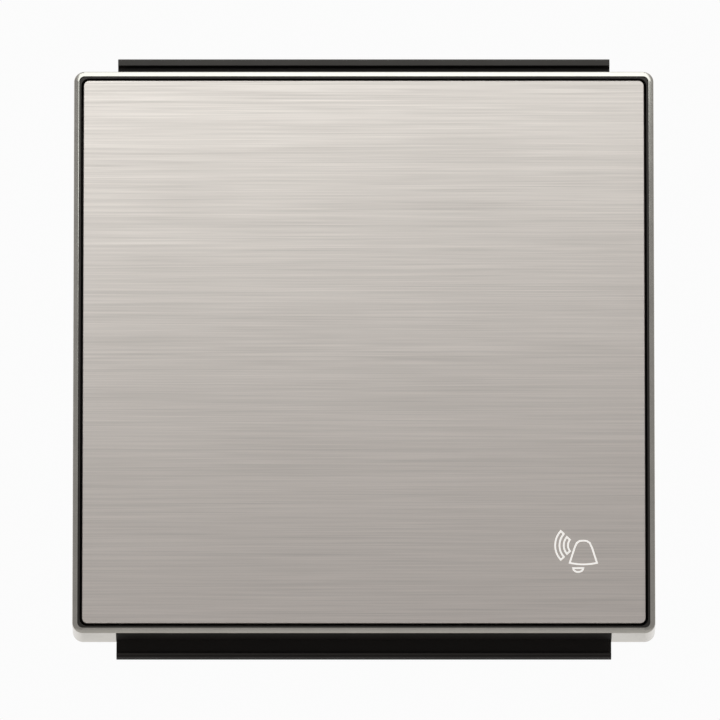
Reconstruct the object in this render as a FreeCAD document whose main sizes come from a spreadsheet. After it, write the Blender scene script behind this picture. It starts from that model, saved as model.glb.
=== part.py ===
import FreeCAD, Part
import math
import os

import Sketcher

# Doorbell push button with a large square rocker, as it sits on a wall.
# X points right, Z up and Y into the wall. The origin is on the wall line, at the centre of the
# four box screws. A depth is measured from the front of the face, towards the wall.
# All sizes are in millimetres, and angles in degrees.

SHEET_NAME = "Sizes"

SIZES = (
    # Motion
    ("press_angle", 2.8, "tilt of the rocker when pressed"),
    ("pivot_stand", 1.3, "trunnion axis behind the cradle plate"),
    ("cover_stand", 1.4, "mechanism cover behind the trunnion axis"),
    # Trim ring
    ("ring_overhang", 2.3, "ring edge outside the skirt"),
    ("ring_wall", 0.55, "wall of the ring"),
    ("ring_depth", 4.1, "front to back of the ring"),
    ("ring_corner", 1.15, "outer corner radius"),
    ("ring_inner_corner", 0.6, "inner corner radius"),
    ("bevel_rise", 0.15, "fall of the front bevel"),
    ("bevel_reach", 0.48, "width of the front bevel"),
    ("ring_strip", 0.35, "front strip left over the rails"),
    ("notch_gap", 0.1, "ring notch to rail end"),
    # Lip, seat and skirt of the cover frame
    ("seat_gap", 0.02, "ring to lip"),
    ("lip_wall", 0.22, "wall of the lip inside the ring"),
    ("lip_drop", 0.12, "lip front behind the ring front"),
    ("lip_corner", 0.58, "outer corner radius of the lip"),
    ("lip_inner_corner", 0.8, "inner corner radius of the lip"),
    ("flange_inset", 0.2, "flange edge inside the ring edge"),
    ("flange_thick", 0.7, "flange behind the ring"),
    ("flange_corner", 1.0, "corner radius of the flange"),
    ("ledge_thick", 0.3, "ledge in front of the flange"),
    ("skirt_wall", 1.6, "wall of the skirt"),
    ("skirt_corner", 2.0, "outer corner radius of the skirt"),
    ("skirt_inner_corner", 1.0, "inner corner radius of the skirt"),
    ("release_half_width", 3.0, "screwdriver notch in the skirt's underside"),
    ("release_height", 1.0, "screwdriver notch in the skirt's underside"),
    # Snap rails of the cover frame
    ("rail_inset", 4.75, "ring side to a rail's end"),
    ("root_stand", 0.08, "rail root outside the ring"),
    ("channel_depth", 2.9, "depth of the channel floor"),
    ("upper_bead", 0.78, "height of the upper bead's front"),
    ("lower_bead", 0.45, "height of the lower bead's front"),
    ("bead_slope", 0.16, "slope from a bead's front to the channel floor"),
    ("bead_depth", 2.4, "depth of the bead front"),
    ("rail_reach", 2.1, "bead outside the ring"),
    ("rail_back", 4.0, "depth of the bead back"),
    ("bead_round", 0.25, "front rounding of the bead"),
    ("bead_heel", 0.45, "back rounding of the bead"),
    # Face plate
    ("face_gap", 0.26, "face plate to lip"),
    ("sheet_thick", 0.5, "stainless sheet"),
    ("tray_depth", 1.9, "depth of the folded edge"),
    ("face_corner", 0.6, "corner radius of the face"),
    ("tray_inner_corner", 0.15, "corner radius inside the fold"),
    ("face_edge", 0.12, "bevel of the front edge"),
    # Rocker body
    ("carrier_gap", 0.05, "folded edge to carrier"),
    ("carrier_thick", 1.6, "carrier plate"),
    ("carrier_corner", 0.3, "corner radius of the carrier"),
    ("rib_gap", 0.7, "rib frame to skirt"),
    ("rib_wall", 1.0, "wall of a rib"),
    ("rib_rise", 1.4, "height of a rib"),
    ("ear_room", 3.8, "trunnion ear to the middle of a rib"),
    ("rib_row", 13.0, "middle to the cross ribs"),
    ("hook_side", 8.25, "middle to a clip hook"),
    ("hook_width", 3.5, "width of a clip hook"),
    ("hook_wall", 1.0, "leg of a clip hook"),
    ("hook_nose", 0.7, "nose of a clip hook"),
    ("hook_tip", 1.0, "hook beyond the cradle"),
    ("hook_gap", 0.05, "hook to cradle"),
    # Cradle
    ("cradle_half_width", 11.0, "middle to side of the cradle"),
    ("nose_margin", 0.7, "nose to the cradle's top"),
    ("cradle_thick", 1.2, "plate of the cradle"),
    ("cradle_corner", 1.0, "corner radius of the cradle"),
    ("window_half_width", 5.5, "middle to side of its window"),
    ("window_half_height", 7.0, "middle to top of its window"),
    ("lug_thick", 1.6, "trunnion lug"),
    ("lug_radius", 1.25, "round end of the lug"),
    ("pin_radius", 1.0, "trunnion"),
    ("pin_length", 2.0, "trunnion outside its lug"),
    ("pin_play", 0.05, "trunnion to its bearing"),
    ("nose_radius", 1.0, "round end of a nose"),
    ("nose_stand", 0.6, "nose tip behind the trunnion axis"),
    ("nose_width", 5.0, "length of a nose"),
    ("rest_gap", 0.05, "nose to plunger or boss"),
    # Mounting plate
    ("plate_thick", 1.5, "steel plate"),
    ("box_screw_circle", 60.0, "diameter of the box screw circle"),
    ("box_hole_radius", 1.75, "hole for a box screw"),
    ("opening_gap", 0.15, "housing to plate"),
    ("tab_thick", 1.2, "turned tab"),
    ("tab_width", 6.0, "width of a turned tab"),
    ("tab_row", 12.0, "middle to a tab"),
    ("tab_reach", 2.5, "turned tab out of the plate"),
    ("tab_gap", 0.2, "tab to skirt"),
    ("nub_width", 2.6, "snap nub of the skirt"),
    ("nub_thick", 0.9, "depth of a nub"),
    ("nub_set", 0.6, "nub behind the tab's edge"),
    ("nub_reach", 0.7, "nub out of the skirt"),
    ("nub_gap", 0.15, "nub to its window"),
    ("arrow_room", 0.9, "collar to the arrow that points up"),
    ("arrow_half_width", 1.7, "arrow"),
    ("arrow_height", 2.2, "arrow"),
    # Mechanism cover
    ("cover_thick", 1.3, "cover plate"),
    ("screw_edge", 2.2, "cover screw to the edge of cover and collar"),
    ("tab_room", 2.8, "collar to turned tab"),
    ("box_screw_room", 4.7, "box screw to the cut corner of the collar"),
    ("ear_thick", 2.0, "trunnion ear"),
    ("ear_gap", 0.2, "cradle side to ear"),
    ("ear_radius", 1.75, "round end of an ear"),
    ("boss_radius", 2.2, "rest boss"),
    ("stop_inner", 3.4, "middle to a press stop"),
    ("stop_width", 2.0, "width of a press stop"),
    ("stop_inset", 0.6, "cradle's edge to the low edge of a stop"),
    ("stop_height", 1.6, "height of a press stop"),
    ("guide_over", 2.1, "guide's end behind the window's front"),
    ("sleeve_wall", 1.0, "wall of the guide"),
    ("slide_play", 0.1, "plunger to its guide"),
    ("screw_column", 8.0, "middle to a cover screw"),
    ("screw_margin", 2.25, "plate opening to a cover screw"),
    ("screw_radius", 1.0, "cover screw"),
    ("screw_head_radius", 1.9, "flat head of a cover screw"),
    ("screw_head_height", 0.9, "flat head of a cover screw"),
    ("screw_length", 3.6, "cover screw behind its head"),
    ("screw_play", 0.1, "cover screw to its clear hole"),
    ("thread_play", 0.02, "cover screw to the plate"),
    # Mechanism housing
    ("collar_thick", 1.2, "collar of the housing"),
    ("housing_chamfer", 7.0, "cut corners of the housing"),
    ("housing_wall", 1.6, "side walls"),
    ("wire_boss_length", 2.7, "cage to the back wall"),
    ("back_wall", 1.8, "back wall"),
    ("post_inner", 5.2, "middle to a strip post"),
    ("post_half_height", 2.2, "half height of a strip post"),
    ("peg_half", 0.7, "middle to side of a locating peg"),
    ("peg_play", 0.05, "peg to strip"),
    ("peg_side", 9.4, "middle to a peg"),
    ("strip_seat_gap", 0.05, "post to strip"),
    ("cage_foot_room", 3.2, "cage to the middle of the cross wall"),
    ("inner_wall", 1.2, "walls inside the housing"),
    ("partition_reach", 8.0, "middle wall in front of the cages"),
    ("well_gap", 0.4, "return spring to its well"),
    ("well_wall", 0.9, "wall of the spring well"),
    ("well_height", 4.2, "height of the spring well"),
    ("wire_radius", 1.3, "wire entry"),
    ("wire_boss_half", 3.0, "middle to side of a wire entry's boss"),
    ("wire_mouth_radius", 2.1, "wider mouth of a wire entry"),
    ("wire_mouth_depth", 0.8, "wider mouth of a wire entry"),
    ("driver_gap", 0.3, "terminal screw to its hole"),
    ("housing_edge", 1.0, "bevel of the back edge"),
    ("groove_row", 6.0, "middle to a side groove"),
    ("groove_half_width", 1.25, "side groove"),
    ("groove_cut", 0.6, "side groove"),
    ("groove_start", 1.5, "wall to a side groove"),
    ("mark_cut", 0.4, "field and gauge on the back"),
    ("field_half_width", 9.0, "field for the rating"),
    ("field_half_height", 5.0, "field for the rating"),
    ("field_row", 5.5, "middle down to the middle of the field"),
    ("gauge_length", 10.0, "length of wire to strip"),
    ("gauge_width", 1.4, "stripping gauge"),
    # Plunger
    ("stem_radius", 1.5, "stem through the cover"),
    ("stem_play", 0.1, "stem to the cover"),
    ("plunger_half_width", 2.0, "middle to side of the plunger"),
    ("plunger_half_height", 2.8, "middle to top of the plunger"),
    ("plunger_foot", 2.65, "plunger behind its window"),
    ("plunger_wall_room", 1.9, "plunger to the housing's wall"),
    ("collar_rest", 0.05, "plunger shoulder to the cover"),
    ("plunger_web", 3.05, "plunger in front of its window"),
    ("slot_gap", 0.15, "bridge to its window"),
    ("spigot_radius", 1.2, "spigot for the return spring"),
    ("spigot_length", 1.5, "spigot for the return spring"),
    # Springs
    ("return_coil_radius", 1.9, "middle of its wire"),
    ("return_wire_radius", 0.225, "return spring wire"),
    ("return_turns", 6.0, "turns of the return spring"),
    ("bridge_coil_radius", 1.1, "middle of its wire"),
    ("bridge_wire_radius", 0.175, "bridge spring wire"),
    ("bridge_turns", 5.0, "turns of the bridge spring"),
    ("spring_gap", 0.02, "spring end to its seat"),
    # Contacts
    ("bridge_spring_room", 5.6, "window's front to the bridge"),
    ("bridge_thick", 0.8, "brass bridge"),
    ("bridge_half_length", 8.0, "middle to end of the bridge"),
    ("bridge_half_height", 1.5, "middle to edge of the bridge"),
    ("bridge_corner", 0.8, "corner radius of the bridge"),
    ("bridge_rest", 0.05, "bridge to its window's back"),
    ("tip_side", 6.4, "middle to a contact rivet"),
    ("tip_radius", 1.1, "contact rivet"),
    ("tip_rise", 0.5, "height of a contact rivet"),
    ("contact_gap", 0.5, "open contacts"),
    ("strip_thick", 0.8, "fixed strip"),
    ("strip_width", 3.6, "fixed strip"),
    ("strip_pad_inner", 4.8, "middle to the strip's pad"),
    ("strip_pad_half", 2.0, "half height of the pad"),
    ("tongue_short", 0.7, "tongue end inside the cage's back"),
    # Terminals
    ("terminal_side", 9.0, "middle to a terminal"),
    ("cage_stand", 0.9, "strip to the cage's front"),
    ("cage_length", 6.5, "cage along the wire"),
    ("cage_width", 7.2, "cage"),
    ("cage_height", 7.2, "cage"),
    ("cage_low", 7.4, "middle to the cage's underside"),
    ("cage_wall", 1.0, "cage"),
    ("cage_seat_gap", 0.05, "cage to what it holds or rests on"),
    ("press_thick", 0.8, "pressure plate"),
    ("wire_room", 0.05, "wire to the pressure plate"),
    ("press_side_gap", 0.3, "pressure plate to cage"),
    ("clamp_radius", 1.5, "terminal screw"),
    ("clamp_head_radius", 2.4, "terminal screw head"),
    ("head_stand", 0.9, "cage to the screw head"),
    ("clamp_head_height", 2.4, "terminal screw head"),
    ("head_room", 2.6, "cage to the housing's wall"),
    ("clamp_slot", 0.8, "slot of a terminal screw"),
)

# Share by which a cut corner grows when an eight-sided outline is offset
CUT_CORNER_SHARE = 2.0 - math.sqrt(2.0)
# The box screws stand on the diagonals
DIAGONAL_SHARE = math.sqrt(0.5)
# How far a cut or a joined root runs past the surface it starts from
OVERRUN = 0.1
# How far a cut runs beyond an outer edge
CLEAR_CUT = 2.0
# A feature's edge counts as lying at a place when it is this close
NEAR = 1e-4
FULL_TURN = 360.0
# A spring is wound from short straight runs of six-sided wire
RUNS_PER_TURN = 10
WIRE_SIDES = 6
# Pitch of the closed turn at each end of a spring, in wire diameters
CLOSED_PITCH = 1.15
MITRED = 1
SIDES = (-1, 1)


class Size:
    """A length that carries its number and the sheet formula behind it."""

    def __init__(self, value, formula):
        self.value = value
        self.formula = formula

    @staticmethod
    def of(item):
        if isinstance(item, Size):
            return item
        return Size(float(item), repr(float(item)))

    def __add__(self, other):
        other = Size.of(other)
        return Size(self.value + other.value, f"({self.formula} + {other.formula})")

    def __radd__(self, other):
        return Size.of(other) + self

    def __sub__(self, other):
        other = Size.of(other)
        return Size(self.value - other.value, f"({self.formula} - {other.formula})")

    def __rsub__(self, other):
        return Size.of(other) - self

    def __mul__(self, other):
        other = Size.of(other)
        return Size(self.value * other.value, f"({self.formula} * {other.formula})")

    def __rmul__(self, other):
        return Size.of(other) * self

    def __truediv__(self, other):
        other = Size.of(other)
        return Size(self.value / other.value, f"({self.formula} / {other.formula})")

    def __neg__(self):
        return Size(-self.value, f"(0 - {self.formula})")


def sine(angle):
    return Size(math.sin(math.radians(angle.value)), f"sin({angle.formula} * 1deg)")


def cosine(angle):
    return Size(math.cos(math.radians(angle.value)), f"cos({angle.formula} * 1deg)")


class SizeSheet:
    """The spreadsheet of driving sizes, read back as attributes."""

    def __init__(self, doc):
        self.sheet = doc.addObject("Spreadsheet::Sheet", SHEET_NAME)
        for row, (alias, value, note) in enumerate(SIZES, start=1):
            self.sheet.set(f"A{row}", alias)
            self.sheet.set(f"B{row}", str(value))
            self.sheet.set(f"C{row}", note)
            self.sheet.setAlias(f"B{row}", alias)
            setattr(self, alias, Size(value, f"{SHEET_NAME}.{alias}"))
        doc.recompute()

    # Depths, from the front of the face to the back of the housing

    @property
    def carrier_back(self):
        return self.sheet_thick + self.carrier_thick

    @property
    def cradle_back(self):
        return self.carrier_back + self.cradle_thick

    @property
    def pivot_depth(self):
        return self.cradle_back + self.pivot_stand

    @property
    def nose_depth(self):
        return self.pivot_depth + self.nose_stand

    @property
    def cover_depth(self):
        return self.pivot_depth + self.cover_stand

    @property
    def cover_back(self):
        return self.cover_depth + self.cover_thick

    @property
    def plate_front(self):
        """The collar lies on the mounting plate."""
        return self.cover_back + self.collar_thick

    @property
    def stand_off(self):
        """Front of the face to the wall."""
        return self.plate_front + self.plate_thick

    @property
    def tab_depth(self):
        return self.plate_front - self.tab_reach

    @property
    def nub_front(self):
        return self.tab_depth + self.nub_set

    @property
    def flange_back(self):
        return self.ring_depth + self.flange_thick

    @property
    def ledge_depth(self):
        return self.ring_depth + self.ledge_thick

    @property
    def slot_front(self):
        return self.cover_back + self.collar_rest + self.plunger_web

    @property
    def guide_end(self):
        return self.slot_front + self.guide_over

    @property
    def bridge_depth(self):
        return self.slot_front + self.bridge_spring_room

    @property
    def bridge_back(self):
        return self.bridge_depth + self.bridge_thick

    @property
    def plunger_end(self):
        return self.bridge_back + self.bridge_rest + self.plunger_foot

    @property
    def strip_tip_front(self):
        return self.bridge_back + self.tip_rise + self.contact_gap

    @property
    def strip_front(self):
        return self.strip_tip_front + self.tip_rise

    @property
    def strip_back(self):
        return self.strip_front + self.strip_thick

    @property
    def cage_front(self):
        return self.strip_back + self.cage_stand

    @property
    def partition_depth(self):
        return self.cage_front - self.partition_reach

    @property
    def cage_back(self):
        return self.cage_front + self.cage_length

    @property
    def tongue_end(self):
        return self.cage_back - self.tongue_short

    @property
    def housing_floor(self):
        return self.cage_back + self.wire_boss_length

    @property
    def housing_depth(self):
        return self.housing_floor + self.back_wall

    # Widths and heights, from the terminals out to the trim ring

    @property
    def tongue_low(self):
        return self.cage_low + self.cage_wall + self.cage_seat_gap

    @property
    def tongue_high(self):
        return self.tongue_low + self.strip_thick

    @property
    def wire_row(self):
        """Height of the wire, between the tongue and the pressure plate."""
        return self.tongue_high + self.wire_radius + self.wire_room / 2

    @property
    def press_low(self):
        return self.tongue_high + self.wire_radius * 2 + self.wire_room

    @property
    def cage_top(self):
        return self.cage_low + self.cage_height

    @property
    def clamp_head_low(self):
        return self.cage_top + self.head_stand

    @property
    def clamp_head_high(self):
        return self.clamp_head_low + self.clamp_head_height

    @property
    def strip_outer(self):
        return self.terminal_side + self.strip_width / 2

    @property
    def cross_wall_row(self):
        return self.cage_low - self.cage_foot_room

    @property
    def cavity_half(self):
        return self.cage_top + self.head_room

    @property
    def housing_half(self):
        return self.cavity_half + self.housing_wall

    @property
    def lever(self):
        """Trunnion axis to a nose and to the plunger."""
        return self.cavity_half - self.plunger_half_height - self.plunger_wall_room

    @property
    def cradle_half_height(self):
        return self.lever + self.nose_radius + self.nose_margin

    @property
    def stop_edge(self):
        return self.cradle_half_height - self.stop_inset

    @property
    def screw_row(self):
        return self.housing_half + self.opening_gap + self.screw_margin

    @property
    def collar_half(self):
        return self.screw_row + self.screw_edge

    @property
    def collar_chamfer(self):
        """Cut corners that leave the box screws free."""
        across = self.box_screw_circle * DIAGONAL_SHARE
        return self.collar_half * 2 - across + self.box_screw_room / DIAGONAL_SHARE

    @property
    def tab_inner(self):
        return self.collar_half + self.tab_room

    @property
    def tab_outer(self):
        return self.tab_inner + self.tab_thick

    @property
    def skirt_inner_half(self):
        return self.tab_outer + self.tab_gap

    @property
    def skirt_half(self):
        return self.skirt_inner_half + self.skirt_wall

    @property
    def ring_half(self):
        return self.skirt_half + self.ring_overhang

    @property
    def rail_half(self):
        return self.ring_half - self.rail_inset

    @property
    def lip_half(self):
        return self.ring_half - self.ring_wall - self.seat_gap

    @property
    def lip_inner_half(self):
        return self.lip_half - self.lip_wall

    @property
    def face_half(self):
        return self.lip_inner_half - self.face_gap

    @property
    def rib_half(self):
        return self.skirt_inner_half - self.rib_gap

    @property
    def rib_column(self):
        return self.cradle_half_width + self.ear_gap + self.ear_thick + self.ear_room

    @property
    def press_stop_depth(self):
        """Depth of the cradle's back at the stop's low edge when pressed, and the rest gap."""
        arm = self.pivot_depth - self.cradle_back
        drop = self.stop_edge * sine(self.press_angle)
        return self.pivot_depth - arm * cosine(self.press_angle) + drop + self.rest_gap


class Drawing:
    """A sketch on one of a body's origin planes, with its points held by the sheet."""

    def __init__(self, body, name, role, right, up, out):
        self.sketch = body.newObject("Sketcher::SketchObject", name)
        plane = next(item for item in body.Origin.OriginFeatures if item.Role == role)
        self.sketch.AttachmentSupport = (plane, [""])
        self.sketch.MapMode = "FlatFace"
        for axis, offset in (("x", right), ("y", up), ("z", out)):
            self.sketch.setExpression(f".AttachmentOffset.Base.{axis}", Size.of(offset).formula)

    def hold(self, rules):
        """Add constraints, and tie each that has a size to its formula."""
        numbers = self.sketch.addConstraint([rule for rule, size in rules])
        for number, (rule, size) in zip(numbers, rules):
            if size is not None:
                self.sketch.setExpression(f"Constraints[{number}]", size.formula)

    def place(self, item, point, x, y):
        """Rules that hold one point of an item at x, y."""
        x, y = Size.of(x), Size.of(y)
        return [
            (Sketcher.Constraint("DistanceX", -1, 1, item, point, x.value), x),
            (Sketcher.Constraint("DistanceY", -1, 1, item, point, y.value), y),
        ]

    def polygon(self, corners):
        corners = [(Size.of(x), Size.of(y)) for x, y in corners]
        first = self.sketch.GeometryCount
        ends = corners[1:] + corners[:1]
        for start, end in zip(corners, ends):
            line = Part.LineSegment(vector(*start), vector(*end))
            self.sketch.addGeometry(line, False)
        count = len(corners)
        rules = []
        for index, (x, y) in enumerate(corners):
            following = first + (index + 1) % count
            rules.append((Sketcher.Constraint("Coincident", first + index, 2, following, 1), None))
            rules += self.place(first + index, 1, x, y)
        self.hold(rules)

    def box(self, left, right, low, high):
        self.polygon([(left, low), (right, low), (right, high), (left, high)])

    def centred_box(self, x, y, half_width, half_height):
        self.box(x - half_width, x + half_width, y - half_height, y + half_height)

    def cut_square(self, half, cut):
        """A centred square with its corners cut off."""
        flat = half - cut
        self.polygon([
            (-flat, -half), (flat, -half), (half, -flat), (half, flat),
            (flat, half), (-flat, half), (-half, flat), (-half, -flat),
        ])

    def circle(self, x, y, radius):
        x, y, radius = Size.of(x), Size.of(y), Size.of(radius)
        item = self.sketch.GeometryCount
        self.sketch.addGeometry(Part.Circle(vector(x, y), UP, radius.value), False)
        rules = self.place(item, 3, x, y)
        rules.append((Sketcher.Constraint("Radius", item, radius.value), radius))
        self.hold(rules)

    def rounded_box(self, left, right, low, high, radius):
        left, right, low, high = (Size.of(edge) for edge in (left, right, low, high))
        first = self.sketch.GeometryCount
        runs = (
            ((left + radius, low), (right - radius, low)),
            ((right, low + radius), (right, high - radius)),
            ((right - radius, high), (left + radius, high)),
            ((left, high - radius), (left, low + radius)),
        )
        turns = (
            (right - radius, low + radius),
            (right - radius, high - radius),
            (left + radius, high - radius),
            (left + radius, low + radius),
        )
        for start, end in runs:
            self.sketch.addGeometry(Part.LineSegment(vector(*start), vector(*end)), False)
        for number, centre in enumerate(turns):
            circle = Part.Circle(vector(*centre), UP, radius.value)
            start_angle = (number - 1) * math.pi / 2
            arc = Part.ArcOfCircle(circle, start_angle, start_angle + math.pi / 2)
            self.sketch.addGeometry(arc, False)
        rules = []
        count = len(runs)
        for number in range(count):
            line, arc = first + number, first + count + number
            following = first + (number + 1) % count
            direction = "Horizontal" if number % 2 == 0 else "Vertical"
            rules.append((Sketcher.Constraint("Tangent", line, 2, arc, 1), None))
            rules.append((Sketcher.Constraint("Tangent", arc, 2, following, 1), None))
            rules.append((Sketcher.Constraint(direction, line), None))
        for number in range(1, count):
            rules.append((Sketcher.Constraint("Equal", first + count, first + count + number), None))
        rules.append((Sketcher.Constraint("Radius", first + count, radius.value), radius))
        for item, kind, edge in ((0, "DistanceY", low), (1, "DistanceX", right),
                                 (2, "DistanceY", high), (3, "DistanceX", left)):
            rules.append((Sketcher.Constraint(kind, -1, 1, first + item, 1, edge.value), edge))
        self.hold(rules)

    def tongue(self, root, centre, middle, radius):
        """A strip from root to a round end about centre, both along the first axis."""
        root, centre, middle = Size.of(root), Size.of(centre), Size.of(middle)
        low, high = middle - radius, middle + radius
        forward = centre.value > root.value
        first = self.sketch.GeometryCount
        near, far = (low, high) if forward else (high, low)
        start_angle = -math.pi / 2 if forward else math.pi / 2
        self.sketch.addGeometry(Part.LineSegment(vector(root, near), vector(centre, near)), False)
        circle = Part.Circle(vector(centre, middle), UP, radius.value)
        self.sketch.addGeometry(Part.ArcOfCircle(circle, start_angle, start_angle + math.pi), False)
        self.sketch.addGeometry(Part.LineSegment(vector(centre, far), vector(root, far)), False)
        self.sketch.addGeometry(Part.LineSegment(vector(root, far), vector(root, near)), False)
        rules = [
            (Sketcher.Constraint("Tangent", first, 2, first + 1, 1), None),
            (Sketcher.Constraint("Tangent", first + 1, 2, first + 2, 1), None),
            (Sketcher.Constraint("Coincident", first + 2, 2, first + 3, 1), None),
            (Sketcher.Constraint("Coincident", first + 3, 2, first, 1), None),
            (Sketcher.Constraint("Horizontal", first), None),
            (Sketcher.Constraint("Vertical", first + 3), None),
            (Sketcher.Constraint("Radius", first + 1, radius.value), radius),
            (Sketcher.Constraint("DistanceX", -1, 1, first + 3, 1, root.value), root),
        ]
        rules += self.place(first + 1, 3, centre, middle)
        self.hold(rules)


class Piece:
    """One separate piece of the push button, a body named after it."""

    def __init__(self, doc, sizes, label):
        self.doc = doc
        self.sizes = sizes
        self.body = doc.addObject("PartDesign::Body", label)
        self.body.Label = label

    def plane(self, role):
        return next(item for item in self.body.Origin.OriginFeatures if item.Role == role)

    def y_at(self, depth):
        """The Y of a depth behind the front of the face."""
        return Size.of(depth) - self.sizes.stand_off

    def front_view(self, name, depth):
        """A drawing seen from the front: X to the right, Z up, at one depth."""
        return Drawing(self.body, name, "XZ_Plane", 0, 0, -self.y_at(depth))

    def side_view(self, name, x=0):
        """A drawing seen from the side: Y first, Z second, at one X."""
        return Drawing(self.body, name, "YZ_Plane", 0, 0, x)

    def top_view(self, name, z):
        """A drawing seen from above: X first, Y second, at one height."""
        return Drawing(self.body, name, "XY_Plane", 0, 0, z)

    def feature(self, kind, name, drawing):
        item = self.body.newObject(f"PartDesign::{kind}", name)
        item.Profile = drawing.sketch
        return item

    def pad(self, name, drawing, length, side="One side", backwards=False):
        item = self.feature("Pad", name, drawing)
        item.setExpression("Length", Size.of(length).formula)
        item.SideType = side
        item.Reversed = backwards
        return item

    def pocket(self, name, drawing, length, side="One side", backwards=False):
        item = self.feature("Pocket", name, drawing)
        item.setExpression("Length", Size.of(length).formula)
        item.SideType = side
        item.Reversed = backwards
        return item

    def slab(self, name, front, back, draw):
        """Material between two depths, in the outline that draw makes."""
        drawing = self.front_view(f"{name}_outline", front)
        draw(drawing)
        return self.pad(name, drawing, Size.of(back) - front, backwards=True)

    def recess(self, name, front, back, draw):
        """A cut between two depths, in the outline that draw makes."""
        drawing = self.front_view(f"{name}_outline", front)
        draw(drawing)
        return self.pocket(name, drawing, Size.of(back) - front)

    def turned(self, name, drawing, axis):
        item = self.feature("Revolution", name, drawing)
        item.ReferenceAxis = (drawing.sketch, [axis])
        item.Angle = FULL_TURN
        return item

    def mirrored(self, name, originals, role):
        item = self.body.newObject("PartDesign::Mirrored", name)
        item.Originals = originals
        item.MirrorPlane = (self.plane(role), [""])
        self.body.Tip = item
        return item

    def edges(self, base, chosen):
        """Names of a feature's edges whose points all pass a test."""
        names = []
        for number, edge in enumerate(base.Shape.Edges, start=1):
            points = [vertex.Point for vertex in edge.Vertexes]
            if all(chosen(point) for point in points):
                names.append(f"Edge{number}")
        return names

    def eased(self, kind, name, base, size, chosen):
        """A Fillet or a Chamfer on the chosen edges of a feature."""
        self.doc.recompute()
        item = self.body.newObject(f"PartDesign::{kind}", name)
        item.Base = (base, self.edges(base, chosen))
        item.setExpression("Radius" if kind == "Fillet" else "Size", size.formula)
        return item


UP = FreeCAD.Vector(0, 0, 1)


def vector(x, y):
    return FreeCAD.Vector(x.value, y.value, 0)


def square(half, corner):
    """An outline maker for a centred square with rounded corners."""
    return lambda drawing: drawing.rounded_box(-half, half, -half, half, corner)


def eight_sided(half, cut):
    """An outline maker for a centred square with cut corners."""
    return lambda drawing: drawing.cut_square(half, cut)


def round_spots(places, radius):
    """An outline maker for equal circles."""
    def draw(drawing):
        for x, z in places:
            drawing.circle(x, z, radius)
    return draw


def square_spots(places, half):
    """An outline maker for equal squares."""
    def draw(drawing):
        for x, z in places:
            drawing.centred_box(x, z, half, half)
    return draw


def four_corners(x, z):
    """The four mirror places of x, z."""
    return [(x * right, z * up) for right in SIDES for up in SIDES]


def both_sides(x, z):
    return [(x * side, z) for side in SIDES]


def build_face_plate(doc, s):
    """Pressed tray of brushed stainless sheet, with its edge folded back."""
    piece = Piece(doc, s, "face_plate")
    half = s.face_half
    tray = piece.slab("tray", 0, s.tray_depth, square(half, s.face_corner))
    piece.recess("inside", s.sheet_thick, s.tray_depth,
                 square(half - s.sheet_thick, s.tray_inner_corner))
    front = -s.stand_off.value
    piece.eased("Chamfer", "front_edge", piece.body.Tip, s.face_edge,
                lambda point: abs(point.y - front) < NEAR)
    return piece


def build_trim_ring(doc, s):
    """Thin metal ring with a bevelled front, notched where the snap rails pass."""
    piece = Piece(doc, s, "trim_ring")
    half = s.ring_half
    inner = half - s.ring_wall
    band = piece.slab("band", 0, s.ring_depth, square(half, s.ring_corner))
    doc.recompute()
    front = -s.stand_off.value
    bevel = piece.body.newObject("PartDesign::Chamfer", "bevel")
    bevel.Base = (band, piece.edges(band, lambda point: abs(point.y - front) < NEAR))
    bevel.ChamferType = "Two distances"
    bevel.setExpression("Size", s.bevel_rise.formula)
    bevel.setExpression("Size2", s.bevel_reach.formula)
    piece.recess("window", 0, s.ring_depth, square(inner, s.ring_inner_corner))
    notch = s.rail_half + s.notch_gap
    piece.recess("rail_notches", s.ring_strip, s.ring_depth,
                 lambda drawing: drawing.box(-notch, notch, -half - CLEAR_CUT, half + CLEAR_CUT))
    return piece


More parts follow.
